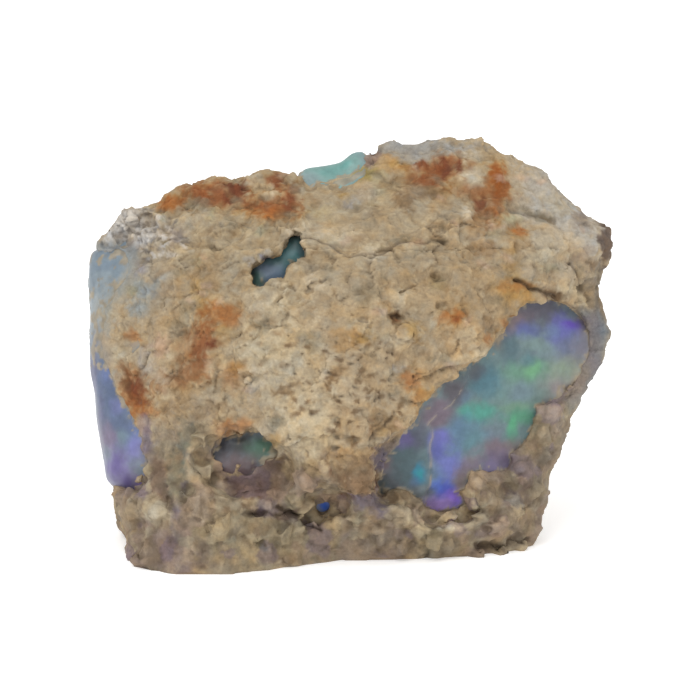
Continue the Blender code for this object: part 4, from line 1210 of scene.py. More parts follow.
        (0.6, -0.3, 5.8, 0.52, 1.03), (0.6, -4.0, 7.4, 0.6, 0.34), (0.4, -4.3, 8.2, 0.52, 0.86),
        (0.5, -7.1, 6.4, 0.77, 0.56), (0.6, -13.9, 1.7, 0.69, 0.9), (0.5, -8.5, 3.1, 0.95, 0.86),
        (0.4, 5.8, 5.2, 1.2, 0.77), (0.5, 2.4, 4.0, 0.52, 0.43), (0.4, 8.4, 2.7, 1.03, 0.52),
        (0.5, 14.1, 8.1, 0.52, 0.6), (0.55, -18.8, 5.9, 0.95, 1.12), (0.5, -0.9, 4.4, 0.86, 0.52),
        (0.35, -3.7, 5.3, 1.29, 0.52), (0.5, 11.3, 5.0, 0.95, 0.43), (0.35, 0.9, 2.1, 1.38, 0.95),
        (0.4, -12.6, 3.9, 0.69, 0.52), (0.4, -10.9, 0.8, 0.6, 0.52), (0.3, -6.6, 1.9, 0.95, 0.6),
    ]),
    ("pale grain", "cdbfa4", [(0.9, 8.6, 4.8, 1.55, 0.69, -10), (0.7, 5.9, 4.9, 0.95, 0.6)]),
    ("white pebble", "a89d8c", [(0.9, -16.6, 5.5, 1.03, 0.95)]),
    ("grain brown", "6f4f38", [
        (0.95, 0.6, 8.0, 1.81, 1.12), (0.3, 0.3, 7.3, 0.77, 0.43), (0.35, -3.7, 8.4, 1.46, 1.03),
        (0.7, -8.7, 7.4, 1.68, 1.38), (0.5, -16.4, 9.3, 0.77, 0.69), (0.8, 4.2, 6.8, 0.99, 0.56),
        (0.3, -17.2, 7.8, 0.86, 1.29),
    ]),
    ("grain mauve", "7c6462", [
        (0.5, -8.9, 9.4, 1.38, 1.2), (0.6, -15.9, 7.1, 0.6, 0.6), (0.5, 14.4, 8.1, 0.52, 0.43),
        (0.5, -9.0, 8.8, 0.43, 0.6), (0.4, -12.4, 1.8, 0.52, 1.29), (0.4, 13.2, 9.9, 0.77, 0.77),
    ]),
    ("violet grey", "756b77", [
        (0.75, 1.5, 6.2, 1.55, 0.86), (0.9, 2.6, 9.9, 1.03, 1.03), (0.75, -15.0, 5.7, 0.6, 0.95),
        (0.6, -17.5, 11.6, 0.34, 1.29), (0.5, -18.5, 7.3, 1.29, 0.6), (0.4, 11.7, 3.5, 0.86, 0.43),
        (0.5, 13.8, 10.7, 0.86, 0.95), (0.45, 20.5, 17.9, 1.03, 3.18, -15), (0.6, 17.8, 15.4, 0.95, 1.03),
        (0.5, -14.2, 0.7, 0.6, 0.52), (0.4, 3.4, 1.8, 1.2, 0.6), (0.4, -0.3, 4.1, 0.52, 1.03),
    ]),
    ("green grey", "616b60", [
        (0.8, -15.0, 8.7, 0.73, 2.15), (0.55, -14.0, 11.7, 0.95, 1.12), (0.8, -7.6, 2.8, 0.69, 0.43, -25),
        (0.5, 16.8, 9.9, 0.6, 0.86), (0.5, 0.7, 4.8, 0.52, 0.52), (0.4, -10.1, 3.1, 0.52, 0.34),
        (0.3, -14.1, 11.2, 0.52, 0.43),
    ]),
    ("slate", "464a58", [(0.9, -14.2, 7.5, 0.43, 0.73), (0.6, -10.6, 11.1, 1.12, 0.77)]),
    ("near black", "241e18", [
        (1, -7.9, 5.5, 0.86, 0.3, -12), (1, -5.3, 5.3, 1.12, 0.3, -28), (0.8, -3.4, 4.4, 0.95, 0.21, -26),
        (0.3, 19.4, 24.9, 0.21, 0.21), (0.6, 3.9, 22.3, 0.26, 0.21, -35), (0.8, 6.5, 1.7, 0.34, 0.26),
        (0.3, -0.1, 12.0, 0.43, 0.34), (0.6, -1.8, 5.9, 0.34, 0.3), (0.5, 14.3, 3.7, 0.34, 0.6),
        (0.6, 10.9, 5.7, 0.77, 0.26, 20), (0.6, 7.3, 3.6, 0.77, 0.34, 25), (0.4, -1.5, 2.6, 0.69, 0.43),
        (0.6, -5.7, 1.4, 0.34, 0.26), (0.3, -9.7, 11.7, 0.26, 0.43),
    ]),
    ("pit sill", "6b5951", [
        (0.75, -10.8, 8.7, 1.03, 0.86, 20), (0.75, -8.9, 8.3, 1.38, 0.69),
        (0.8, -7.2, 9.1, 0.86, 0.86, -20),
    ]),
    ("sand light", "c6c1ba", [(0.75, -18.8, 30.2, 2.88, 1.38, -8)]),
    ("fresh rust", "8f4f22", [
        (0.7, 12.7, 33.8, 0.77, 1.2, 10), (0.35, 6.9, 35.3, 1.12, 0.6, -15),
        (0.35, 11.4, 30.9, 0.86, 0.69),
    ]),
    ("olive stain", "97874e", [(0.6, 1.0, 34.7, 1.03, 0.73, -20)]),
    ("cream chip", "d2c0a3", [
        (0.35, -1.7, 29.4, 2.58, 0.69, -5), (0.5, 3.1, 19.5, 1.2, 0.86), (0.45, -11.7, 18.0, 0.86, 0.69),
        (0.5, -12.2, 5.3, 0.95, 0.77), (0.6, -3.0, 25.1, 1.03, 0.77), (0.55, -8.5, 17.0, 1.12, 0.77),
        (0.5, 2.2, 27.7, 1.12, 0.69), (0.7, -4.8, 29.1, 0.77, 0.52, -40),
    ]),
    ("beige cement", "bea98a", [
        (0.5, -12.0, 8.1, 0.86, 0.77), (0.4, -2.5, 5.0, 0.69, 0.43), (0.4, -0.9, 5.9, 0.77, 0.6),
        (0.4, 6.9, 5.2, 0.77, 0.52), (0.5, -13.0, 10.0, 1.03, 0.86), (0.5, -0.9, 6.2, 0.95, 0.69),
        (0.5, -2.6, 4.9, 0.86, 0.52), (0.5, 18.9, 22.7, 0.77, 0.77, 30), (0.75, -11.9, 8.1, 1.03, 1.03),
        (0.6, -10.7, 7.5, 0.77, 0.6), (0.6, -12.9, 10.3, 0.95, 0.95), (0.75, -0.9, 6.0, 0.86, 0.69),
        (0.7, -2.7, 5.0, 0.77, 0.6), (0.6, 6.9, 5.2, 0.95, 0.6), (0.8, 18.7, 23.3, 1.03, 0.69, 30),
        (0.6, 16.8, 24.8, 0.77, 0.52, 20),
    ]),
    ("brown shadow", "6a513c", [
        (0.5, -6.9, 7.1, 0.95, 0.77), (0.5, -10.3, 5.9, 1.03, 0.69), (0.5, 4.3, 5.1, 1.03, 0.69),
        (0.45, -5.6, 1.4, 1.29, 0.6), (0.5, 10.6, 4.5, 0.95, 0.6), (0.6, -7.9, 4.3, 1.12, 0.69),
        (0.65, 0.8, 9.3, 1.12, 0.77), (0.6, -7.0, 7.3, 1.12, 0.86), (0.5, 5.4, 33.1, 1.12, 0.69, -20),
    ]),
    ("dusk violet", "59545e", [
        (0.35, 14.3, 6.5, 0.86, 0.69), (0.45, 14.4, 6.4, 1.03, 0.77), (0.65, 3.3, 10.9, 0.86, 0.95),
        (0.55, 14.0, 6.6, 1.2, 0.95),
    ]),
    ("worn grey", "8f7f70", [
        (0.6, 20.0, 27.8, 0.69, 0.95), (0.55, 20.0, 30.6, 0.77, 1.03), (0.5, -15.5, 29.1, 1.03, 0.86),
    ]),
    ("tan shadow", "8a6842", [(0.5, 11.7, 28.0, 1.12, 0.77), (0.5, 10.8, 30.3, 1.03, 0.77)]),
    ("cleft dark", "3c2c1e", [(0.85, -8.0, 5.5, 0.95, 0.26, 4), (0.9, -5.3, 5.3, 0.99, 0.34, 24)]),
    ("foot mauve", "66564e", [(0.7, -16.2, 2.3, 1.72, 0.95)]),
]
ROCK_GROUND = "ac9a7e"
RUSTY = ("rust", "orange")
HALO, HALO_SHARE = "a5864f", 0.42  # rust bleeds into the rock round it
HALO_GROWTH, HALO_RIM = 1.3, 0.2  # a halo is this many times as wide as its rust, and so many mm more
HAZY = (  # these have no clear edge
    "rust", "orange", "ochre", "haze blue", "haze violet", "pale green", "olive", "grey beige",
    "light grey", "dull beige",
)
BIG_BEND, SMALL_BEND = (1.5, 29, 30), (0.45, 31, 32)  # size in mm and two seeds
BIG_TEAR, SMALL_TEAR = (0.55, 36), (0.24, 37)  # size in mm and seed
ROCK_BENDS, ROCK_SOFT, ROCK_TORN = (0.5, 0.35), 0.7, 0.5
PIGMENT = 0.80  # share of the light that a colour sends back, against how it looks on a bright table


def linear(hex_colour):
    """An sRGB hex colour as linear red, green and blue."""
    shares = np.array([int(hex_colour[i : i + 2], 16) for i in (0, 2, 4)]) / 255.0
    return PIGMENT * np.where(shares <= 0.04045, shares / 12.92, ((shares + 0.055) / 1.055) ** 2.4)


def laid_over(colour, other, share):
    """A colour with another laid over it; share says how much of it covers each point."""
    share = share[:, None]
    return colour * (1.0 - share) + other * share


def halos_of(stains):
    """A wider, fainter patch round each patch of rust."""
    halos = []
    for _, _, patches in (stain for stain in stains if stain[0] in RUSTY):
        for strength, u, v, *radii_and_turn in patches:
            radii = (HALO_GROWTH * radius + HALO_RIM for radius in radii_and_turn[:2])
            halos.append((HALO_SHARE * strength, u, v, *radii, *radii_and_turn[2:]))
    return [("halo", HALO, halos)]


def stained(points, ground, stains, front, bends, soft, torn):
    """The ground colour with all stains laid over it, for each point. Large patches are bent and torn
    by wide noise, small ones only by fine noise."""
    size, *seeds = BIG_BEND
    wide_u, wide_v = (bends[0] * lumps_of(points, size, seed) for seed in seeds)
    size, *seeds = SMALL_BEND
    fine_u, fine_v = (bends[1] * lumps_of(points, size, seed) for seed in seeds)
    fine_tear, wide_tear = lumps_of(points, *SMALL_TEAR), lumps_of(points, *BIG_TEAR)
    colour = np.tile(linear(ground), (len(points), 1))
    first = next((i for i, stain in enumerate(stains) if stain[0] == "orange"), 0)
    for name, hex_colour, patches in stains[:first] + halos_of(stains) + stains[first:]:
        pigment = linear(hex_colour)
        hazy = 2.0 if name in HAZY else 1.0
        for strength, *spot in patches:
            large = min(1.0, max(0.0, math.sqrt(spot[2] * spot[3]) - 0.3))
            u = points[:, 0] + fine_u + large * wide_u
            v = points[:, 1] + fine_v + large * wide_v
            tear = torn * (fine_tear + large * wide_tear) / hazy
            colour = laid_over(colour, pigment, strength * front * patch(u, v, spot, soft * hazy, tear))
    return colour


# %% [markdown]
# ## Tints of the grains
#
# Grit is a mix: most crumbs are tan, some are cream, brown or violet-grey. Each point of the skin
# takes the tint of the grain that it belongs to.

# %% Tints of the grains
GRAIN_TINTS = ["a89573", "b5a88c", "9a8568", "8a7a64", "7d6a5c", "80707a", "a08a78", "93866a"]
TINT_SEED = 14
TINT_RANGE = (0.85, 1.15)  # no two grains are equally light
TINT_REACH, TINT_FADE = 2.0, 0.6  # in radii of the grain
NEIGHBOURS = 4


def grain_tint(points):
    """The tint at each point, and how much of it shows: 1 on a grain, 0 away from all grains."""
    tree = KDTree(len(grains))
    for number, grain in enumerate(grains):
        tree.insert(grain[:3], number)
    tree.balance()
    rng = np.random.default_rng(TINT_SEED)
    tints = np.array([linear(tint) for tint in GRAIN_TINTS])
    tints = tints[rng.integers(len(GRAIN_TINTS), size=len(grains))]
    tints *= rng.uniform(*TINT_RANGE, (len(grains), 1))
    colour = np.zeros((len(points), 3))
    share = np.zeros(len(points))
    for i, point in enumerate(points):
        near = tree.find_n(point, NEIGHBOURS)
        reach, number = min((reach / grains[number][3], number) for _, number, reach in near)
        colour[i] = tints[number]
        share[i] = smooth_step((TINT_REACH - reach) / TINT_FADE)
    return colour, share


# %% [markdown]
# ## Fire of the opal
#
# Precious opal is a stack of tiny silica spheres that splits light into colour, so each patch of
# the stone throws one hue. The patches have soft, torn edges. They lie below a hazy skin, so no
# hue is fully pure: slate and teal ground, green in the middle, blue and violet towards the rim.

# %% Patches of fire
OPAL_FIRE = [
    ("hazy blue grey", "7f8f9a", [(0.95, -20.2, 26.3, 3.01, 2.58)]),
    ("pale haze", "98a2a6", [(0.85, -22.0, 23.2, 1.03, 2.06), (0.4, -21.3, 25.8, 0.86, 0.69)]),
    ("slate line", "6f7f8e", [(0.6, -20.4, 27.8, 1.93, 0.3), (0.6, -21.1, 26.6, 1.29, 0.34, 5)]),
    ("thin sand", "a5987f", [
        (0.95, -18.9, 21.7, 2.54, 3.01, -3), (0.75, -18.1, 24.9, 1.81, 1.2),
        (0.6, -17.6, 26.3, 1.68, 1.33), (0.4, -20.1, 17.1, 0.52, 0.6),
    ]),
    ("sand haze", "98978a", [(0.5, -20.3, 22.7, 0.95, 2.41), (0.4, -21.3, 20.2, 0.52, 0.95)]),
    ("flank tan", "a08368", [(0.6, -21.0, 20.3, 0.56, 0.6), (0.6, -19.1, 20.3, 0.86, 0.86)]),
    ("pale streak", "b4a68b", [(0.6, -19.9, 18.8, 0.47, 0.95, -8)]),
    ("dusty blue", "5a6886", [(0.95, -21.5, 16.9, 1.38, 1.98, -8), (0.9, -20.1, 13.6, 1.72, 3.22, 12)]),
    ("rim violet", "6a6685", [(0.6, -22.3, 16.8, 0.43, 3.44, -5), (0.6, -21.7, 12.1, 0.52, 3.01, -8)]),
    ("flank blue", "6f7fae", [(0.7, -21.0, 17.3, 0.52, 0.69), (0.6, -18.4, 12.0, 0.86, 1.03)]),
    ("violet blue", "7f80b8", [(0.9, -18.5, 11.1, 0.77, 0.86), (0.4, -20.0, 14.6, 0.52, 0.69)]),
    ("flank teal", "72868f", [(0.7, -19.7, 11.9, 0.6, 0.77)]),
    ("mauve bloom", "7f7088", [(0.8, -20.8, 11.8, 0.69, 1.2), (0.5, -18.8, 8.2, 0.77, 0.86)]),
    ("dull violet", "7a709e", [(0.9, -19.8, 8.9, 1.2, 2.06, 10)]),
    ("deep violet", "665a92", [(0.85, -20.2, 9.5, 0.6, 0.77), (0.6, -19.3, 8.1, 0.43, 0.77)]),
    ("violet glow", "8f7bb0", [(0.95, -17.9, 7.6, 0.69, 0.95, -35)]),
    ("violet haze", "7a7894", [(0.6, -17.5, 10.5, 0.86, 1.12)]),
    ("top teal", "7a9f99", [(1, -1.5, 35.1, 3.65, 1.93)]),
    ("top bright", "65a09a", [(0.8, -0.4, 35.4, 0.6, 0.34, 20), (0.5, -1.7, 34.9, 1.03, 0.34)]),
    ("top grey", "87999a", [(0.8, -3.7, 34.0, 1.12, 0.69), (0.6, 1.5, 35.7, 0.6, 0.69)]),
    ("pit teal", "4e7a7e", [(1, -5.4, 27.7, 1.5, 1.81)]),
    ("pit blue", "5e738a", [(1, -6.8, 25.8, 1.42, 1.2)]),
    ("pit shade", "46665f", [
        (0.95, -8.1, 25.4, 0.52, 1.03), (0.6, -4.5, 28.9, 0.69, 0.69), (0.5, -6.4, 27.0, 1.2, 0.34),
    ]),
    ("window slate", "3d3d43", [(1, -10.8, 10.9, 1.55, 1.12)]),
    ("window shade", "3c3e3a", [(0.9, -9.1, 11.2, 0.86, 1.12)]),
    ("window green", "4c6d5c", [(1, -7.6, 10.8, 1.2, 1.2)]),
    ("window mauve", "665658", [(1, -9.5, 9.1, 1.98, 1.2)]),
    ("glint dull", "7a8296", [(1, -2.2, 6.0, 1.38, 1.2)]),
    ("glint", "3f68c8", [(1, -2.2, 6.0, 0.43, 0.43, 20)]),
    ("field", "6b8385", [(1, 12.0, 14.2, 9.46, 9.46)]),
    ("shaded head", "5c5a68", [(0.95, 16.5, 22.8, 2.06, 1.29, -10)]),
    ("brown edge", "856c58", [
        (0.7, 13.9, 22.0, 1.03, 0.86, 30), (0.5, 12.7, 20.2, 0.52, 0.95, 30),
        (0.6, 20.4, 21.6, 1.12, 1.03),
    ]),
    ("mauve edge", "80707a", [(0.7, 14.7, 22.0, 1.12, 0.69, 20)]),
    ("blue left", "5c659f", [(0.85, 15.1, 21.1, 1.03, 0.69)]),
    ("blue head", "6a6ab8", [(0.9, 18.4, 21.0, 1.55, 1.29, 25)]),
    ("violet head", "6b55bd", [(0.95, 19.1, 21.6, 0.69, 0.34, -10)]),
    ("head haze", "6d82a5", [(0.7, 17.4, 21.0, 0.69, 0.6)]),
    ("slate violet", "6c6580", [(0.7, 13.5, 20.7, 0.64, 0.6, 30)]),
    ("grey teal", "567078", [(0.95, 13.8, 19.4, 0.86, 1.2), (0.5, 15.6, 19.0, 0.43, 0.6)]),
    ("slate blue", "666f8a", [(0.9, 18.8, 19.4, 1.46, 1.03, -10)]),
    ("grey violet", "7c7885", [(0.85, 20.6, 19.4, 1.12, 2.41, -12), (0.6, 19.5, 18.2, 1.29, 0.69, -15)]),
    ("pale band", "7c9490", [(0.6, 16.1, 19.9, 1.63, 0.52, -20)]),
    ("grey flank", "948e87", [(0.8, 18.7, 15.8, 2.75, 1.72, -15), (0.6, 21.3, 19.8, 0.69, 1.29)]),
    ("flank brown", "9d8b7a", [(0.8, 20.0, 16.8, 0.77, 1.72, -18)]),
    ("pink flank", "8f8284", [(0.7, 18.1, 16.0, 0.86, 0.52), (0.6, 17.8, 14.9, 0.95, 0.52)]),
    ("dark mauve", "70606a", [(0.6, 17.4, 14.9, 0.64, 0.34)]),
    ("pale green", "83957c", [(0.85, 18.6, 17.9, 1.2, 0.77)]),
    ("leaf green", "64937a", [(0.85, 15.0, 17.5, 1.89, 1.03)]),
    ("bright green", "6ba378", [(0.85, 15.7, 17.6, 0.6, 0.77, -25)]),
    ("blue spot", "4f7a82", [(0.6, 15.4, 18.5, 0.6, 0.43)]),
    ("grey green", "6c8a84", [(0.8, 14.4, 15.6, 2.67, 1.2)]),
    ("grey blue", "6f8494", [(0.6, 14.7, 15.7, 1.12, 0.77)]),
    ("blue teal", "4d7886", [(0.9, 11.6, 16.7, 1.29, 1.29, 32)]),
    ("sea green", "4b9c8a", [(0.85, 11.5, 13.9, 1.2, 0.86), (0.95, 9.9, 13.9, 0.6, 0.69)]),
    ("green haze", "6e9579", [(0.7, 14.4, 14.5, 1.55, 0.43)]),
    ("green low", "4f9272", [(0.9, 14.5, 13.6, 1.12, 0.69)]),
    ("green spark", "57a87d", [(0.85, 13.9, 12.7, 0.34, 1.03, -5)]),
    ("green tail", "4f8a76", [(0.7, 13.8, 11.8, 0.52, 0.69)]),
    ("slate low", "6b7885", [(0.7, 12.4, 12.1, 1.2, 0.95), (0.4, 12.5, 11.7, 0.95, 0.52)]),
    ("blue field", "5b7a96", [(0.9, 9.8, 12.1, 1.72, 1.46), (0.6, 9.9, 15.3, 0.77, 0.52, 25)]),
    ("teal low", "5c8488", [(0.7, 10.6, 11.7, 0.95, 1.2)]),
    ("violet left", "6b6cb4", [(0.95, 7.6, 11.7, 0.86, 0.95, -15)]),
    ("periwinkle", "6a70b8", [(0.9, 8.6, 9.5, 1.2, 1.46, -5)]),
    ("indigo", "5054a0", [(0.7, 7.5, 10.6, 0.6, 0.69)]),
    ("steel", "5c789e", [(0.6, 7.6, 8.6, 0.69, 0.86)]),
    ("bright blue", "4c5ac0", [(0.95, 8.2, 7.3, 0.95, 0.77, 30)]),
    ("cobalt", "4a6cd0", [(0.7, 7.4, 7.7, 0.52, 0.52)]),
    ("violet spark", "8a6cd8", [(0.95, 9.0, 6.6, 0.73, 0.73, -20)]),
    ("purple", "b094e2", [(0.95, 7.6, 6.1, 1.2, 0.77)]),
    ("mauve", "7b6670", [(0.85, 12.6, 10.8, 1.38, 1.03), (0.7, 10.4, 9.6, 0.95, 1.03)]),
    ("violet dusk", "6a5c78", [(0.85, 12.7, 9.3, 1.72, 1.2)]),
    ("lilac", "74688f", [(0.5, 12.2, 9.3, 0.52, 0.52)]),
    ("brown mauve", "7d6b68", [(0.8, 9.6, 8.0, 0.69, 1.12), (0.6, 14.2, 10.8, 0.77, 0.86)]),
    # A painted shadow on the opal, just below the edge of the crust.
    ("crust edge shadow", "574c55", [(0.85, 9.0, 16.0, 1.29, 1.2, 38), (0.6, 10.8, 17.5, 0.86, 0.69, 35)]),
    ("edge mauve", "756673", [(0.95, 7.5, 13.8, 1.63, 1.12, 28)]),
    ("deep teal", "4a6066", [(0.95, 4.9, 9.4, 1.98, 2.58)]),
    ("slate corner", "54586a", [(0.9, 5.5, 12.0, 1.38, 1.03)]),
    ("violet corner", "5f5688", [(0.9, 4.5, 11.6, 0.86, 0.77, 20)]),
    ("cyan spark", "2584a4", [(0.95, 6.0, 8.7, 0.52, 0.86)]),
    ("cyan core", "2c9390", [(0.6, 6.0, 8.8, 0.34, 0.43)]),
    ("blue corner", "4d6f94", [(0.7, 5.6, 8.0, 0.43, 0.43)]),
    ("dark facet", "5b5058", [(0.8, 1.4, 7.9, 2.24, 3.1)]),
    ("mauve facet", "7a6468", [(0.9, 2.4, 9.9, 1.03, 0.95)]),
    ("foot shade", "65605f", [(0.8, 3.5, 6.0, 3.53, 1.55)]),
    ("dark notch", "45504f", [(0.8, 2.8, 7.6, 0.6, 1.12)]),
]
OPAL_GROUND = "7b8793"
FIRE_BENDS, FIRE_SOFT, FIRE_TORN = (0.45, 0.14), 1.3, 0.12


def fire_of(points):
    """The opal's own colour at each point."""
    return stained(points, OPAL_GROUND, OPAL_FIRE, 1.0, FIRE_BENDS, FIRE_SOFT, FIRE_TORN)


# %% [markdown]
# ## The colour of the rock
#
# Over the stains come the things that a loupe shows: single dark and pale grains, flakes that
# differ a little in tint, the colours of the crumbs in the grit and a slow mottle. Crests get a
# painted highlight, and crevices get brown dirt with painted shade. The sides and the back carry
# wide stains only. Where the rock is thin over opal, on the right rim and along the left flank, the
# opal's colour comes through.

# %% Paint the rock
# The brown of the dirt and painted shade that is laid into crevices, cavities and the grit.
DIRT_AND_SHADE = linear("57483a")
LIFT = 1.07  # how much lighter the rock is than its stains
MOTTLE = [(0.07, 2.4, 33), (0.07, 1.0, 34), (0.06, 0.45, 35)]
WARMTH = [(0.05, 1.6, 38), (0.05, 0.7, 39)]
WARM_TINT = np.array([1.0, 0.0, -1.6])  # a warmer place has more red and less blue
GAP_DIRT_AND_SHADE, GAP_LUMPS = 0.35, [(1.0, 0.9, 45), (0.5, 0.4, 46)]  # dirt and painted shade between the crumbs, in patches of noise over the grit
# How much dirt and painted shade crevices take, how much painted shade cavities take, and the most that
# all of it covers.
CREVICE_DIRT_AND_SHADE, CAVITY_SHADE, MOST_DIRT_AND_SHADE = 0.55, 5.0, 0.75
CREST_HIGHLIGHT, MOST_CREST_HIGHLIGHT = 2.5, 0.15  # crests and edges get a painted highlight
TONE_SHARE = 0.16  # no two flakes are equally light
CAVITY_SHARE, CAVITY_GRIT = 0.55, 0.65  # how much a cavity counts, and how much more in the grit
FRONT_GRIT, BACK_GRIT = 0.45, 0.4  # share of the crumbs' own tints, and how much more behind
RIM_SHARE, RIM_EDGE = 0.85, 1.2  # opal shows in the thin rim on the right
RIM_OUTLINE = [
    (20.0, 22.7), (21.5, 22.7), (22.5, 21.1), (21.5, 17.5), (20.5, 15.1), (19.1, 14.1), (18.6, 15.1),
    (19.8, 16.5), (20.5, 18.5), (20.8, 20.6),
]
VEIL_SHARE, VEIL_REACH, VEIL_FOOT = 0.5, 1.2, 17.5  # it shows through the left flank's thin crust too
FLAKE_TINTS = [
    (1.12, 1.12, 1.10), (1.04, 0.96, 0.84), (0.88, 0.88, 0.88),
    (1.02, 1.0, 0.96), (0.96, 0.99, 1.04), (0.96, 0.88, 0.76),
]
FLAKE_SHARE, FLAKE_MIXER = 0.4, 997.0  # how much of a tint shows; what deals the tints out
SPECK_SEED = 17
SPECK_SHAPE = (1.4, 0.7)  # half the length and half the width, in radii
SPECK_SOFT, SPECK_TURN = 0.7, 50.0
SPECKS = [  # (colour, how many, where, least and most radius in mm, strength)
    ("6a5138", 60, PITTED, 0.14, 0.34, 0.7),
    ("82694b", 70, CRUST, 0.20, 0.50, 0.45),
    ("837a66", 70, CRUST, 0.20, 0.55, 0.45),
    ("bfb094", 60, CRUST, 0.20, 0.55, 0.45),
    ("bea28c", 30, CRUST, 0.20, 0.45, 0.45),
    ("6a6460", 60, GREY_SAND, 0.12, 0.28, 0.65),
    ("cdc7bf", 40, GREY_SAND, 0.15, 0.35, 0.6),
]
BACK_STAINS = [  # (colour, size in mm, seed, how high the noise has to be, strength)
    ("c0b296", 4.5, 71, 0.05, 0.6), ("837a66", 3.5, 72, 0.15, 0.6), ("a9a296", 5.0, 73, 0.2, 0.6),
    ("a88450", 3.0, 74, 0.25, 0.6), ("8a5430", 4.2, 75, 0.45, 0.7), ("6d3a26", 1.8, 76, 0.6, 0.5),
    ("756b77", 3.2, 77, 0.5, 0.4), ("5d432b", 1.2, 78, 0.5, 0.5),
]
seen = to_seam(points_of(rock))
seen_front = facing_front(normals_of(rock) @ SEAM_AXES.T, 0.35, 0.5)
colour = stained(seen, ROCK_GROUND, ROCK_STAINS, seen_front, ROCK_BENDS, ROCK_SOFT, ROCK_TORN)
for hex_colour, size, seed, least, strength in BACK_STAINS:
    spread = layered(seen, [(1.0, size, seed), (0.5, 0.3 * size, seed + 10)])
    cover = strength * (1.0 - seen_front) * smooth_step((spread - least) / 0.3)
    colour = laid_over(colour, linear(hex_colour), cover)
rng = np.random.default_rng(SPECK_SEED)
tear = 0.6 * lumps_of(seen, *SMALL_TEAR)
for hex_colour, count, outline, least, most, strength in SPECKS:
    low, high = np.min(outline, axis=0), np.max(outline, axis=0)
    for spot_u, spot_v in rng.uniform(low, high, (count, 2)):
        inside = depth_inside(np.array([spot_u]), np.array([spot_v]), outline)[0] > 0.0
        size, turn = rng.uniform(least, most), rng.uniform(-SPECK_TURN, SPECK_TURN)
        spot = (spot_u, spot_v, SPECK_SHAPE[0] * size, SPECK_SHAPE[1] * size, turn)
        shown = patch(seen[:, 0], seen[:, 1], spot, SPECK_SOFT, tear)
        colour = laid_over(colour, linear(hex_colour), inside * strength * seen_front * shown)
bent_seen = seen + MARK_BEND * warp_of(seen)
tints = 1.0 + FLAKE_SHARE * (np.array(FLAKE_TINTS) - 1.0)
for kind in (FLAKES, CHIPS):
    own = grains_of(bent_seen, *kind)[2]
    colour *= tints[(own * FLAKE_MIXER).astype(int) % len(tints)]
grit_tint, grit_share = grain_tint(seen)
grit_share = (FRONT_GRIT + BACK_GRIT * (1.0 - seen_front)) * grit_share
colour = laid_over(colour, grit_tint, grit_share)
mottle, warm = layered(seen, MOTTLE), layered(seen, WARMTH)
gritty = np.where(seen_front > 0.5, zone(seen[:, 0], seen[:, 1], GRIT_BED), grit_share)
cavity = read(rock, "cavity") * (CAVITY_SHARE + CAVITY_GRIT * gritty)
light = LIFT + mottle + TONE_SHARE * (read(rock, "tone") - 0.5)
# A painted highlight on crests and edges.
light = light + np.clip(-CREST_HIGHLIGHT * cavity, 0.0, MOST_CREST_HIGHLIGHT)
colour = colour * light[:, None] * (1.0 + warm[:, None] * WARM_TINT)
# Dirt and painted shade: in patches over the grit, in crevices and in cavities.
gap_dirt_and_shade = GAP_DIRT_AND_SHADE * gritty * smooth_step((layered(seen, GAP_LUMPS) - 0.1) / 0.5)
dirt_and_shade = CREVICE_DIRT_AND_SHADE * read(rock, "crevice_dirt_and_shade") + np.clip(CAVITY_SHADE * cavity - 0.03, 0.0, 0.5) + gap_dirt_and_shade
colour = laid_over(colour, DIRT_AND_SHADE, np.clip(dirt_and_shade, 0.0, MOST_DIRT_AND_SHADE))
opal_tint = fire_of(seen)
rim = RIM_SHARE * zone(seen[:, 0], seen[:, 1], RIM_OUTLINE, RIM_EDGE)
colour = laid_over(colour, opal_tint, rim)
reach, _ = path_reach(bent_seen[:, 0], bent_seen[:, 1], SHORES[0][0])
veil = VEIL_SHARE * smooth_step(1.0 - reach / VEIL_REACH) * seen_front
veil *= smooth_step((seen[:, 1] - VEIL_FOOT) / 2.0)
colour = laid_over(colour, opal_tint, veil)
store(rock, "mineral", np.clip(colour, 0.0, 1.0))
print("rock painted from", len(ROCK_STAINS), "stains and", len(SPECKS), "kinds of specks")

# %% [markdown]
# ## The colour of the opal
#
# A faint haze makes the fire uneven, as the silica is milky in places. Crumbs of sandy cement
# stick to the opal along its shores and hide its colour there.

# %% Paint the opal
HAZE = [(0.06, 1.6, 41), (0.05, 0.6, 42)]
CEMENT, CEMENT_SHARE, CEMENT_LUMPS = linear("9a8d76"), 0.85, (0.3, 0.35, 43)

opal_seen = to_seam(points_of(opal))
fire = fire_of(opal_seen) * (1.0 + layered(opal_seen, HAZE)[:, None])
cement_colour = CEMENT * (1.0 + layered(opal_seen, [CEMENT_LUMPS])[:, None])
fire = laid_over(fire, cement_colour, CEMENT_SHARE * read(opal, "cement"))
store(opal, "fire", fire)
print("opal painted from", len(OPAL_FIRE), "patches of colour")

# %% [markdown]
# ## Shader nodes
#
# Both materials start from a colour that is stored point by point. Noise finer than the mesh then
# makes it lighter and darker, and more noise tilts the surface a little, as grains too small to
# model do on a real stone.

# %% Node helpers
def add_node(material, kind, links=None, **settings):
    """Adds a node; settings are its properties or input values, links join inputs to outputs."""
    tree = material.node_tree
    node = tree.nodes.new(kind)
    for name, value in settings.items():
        if hasattr(node, name):
            setattr(node, name, value)
        else:
            node.inputs[name.replace("_", " ")].default_value = value
    for name, output in (links or {}).items():
        tree.links.new(output, node.inputs[name])
    return node


def new_material(name):
    material = bpy.data.materials.new(name)
    material.use_nodes = True
    material.node_tree.nodes.clear()
    return material


def stored(material, name, kind="Color"):
    """A colour or a number that was stored point by point."""
    return add_node(material, "ShaderNodeAttribute", attribute_name=name).outputs[kind]


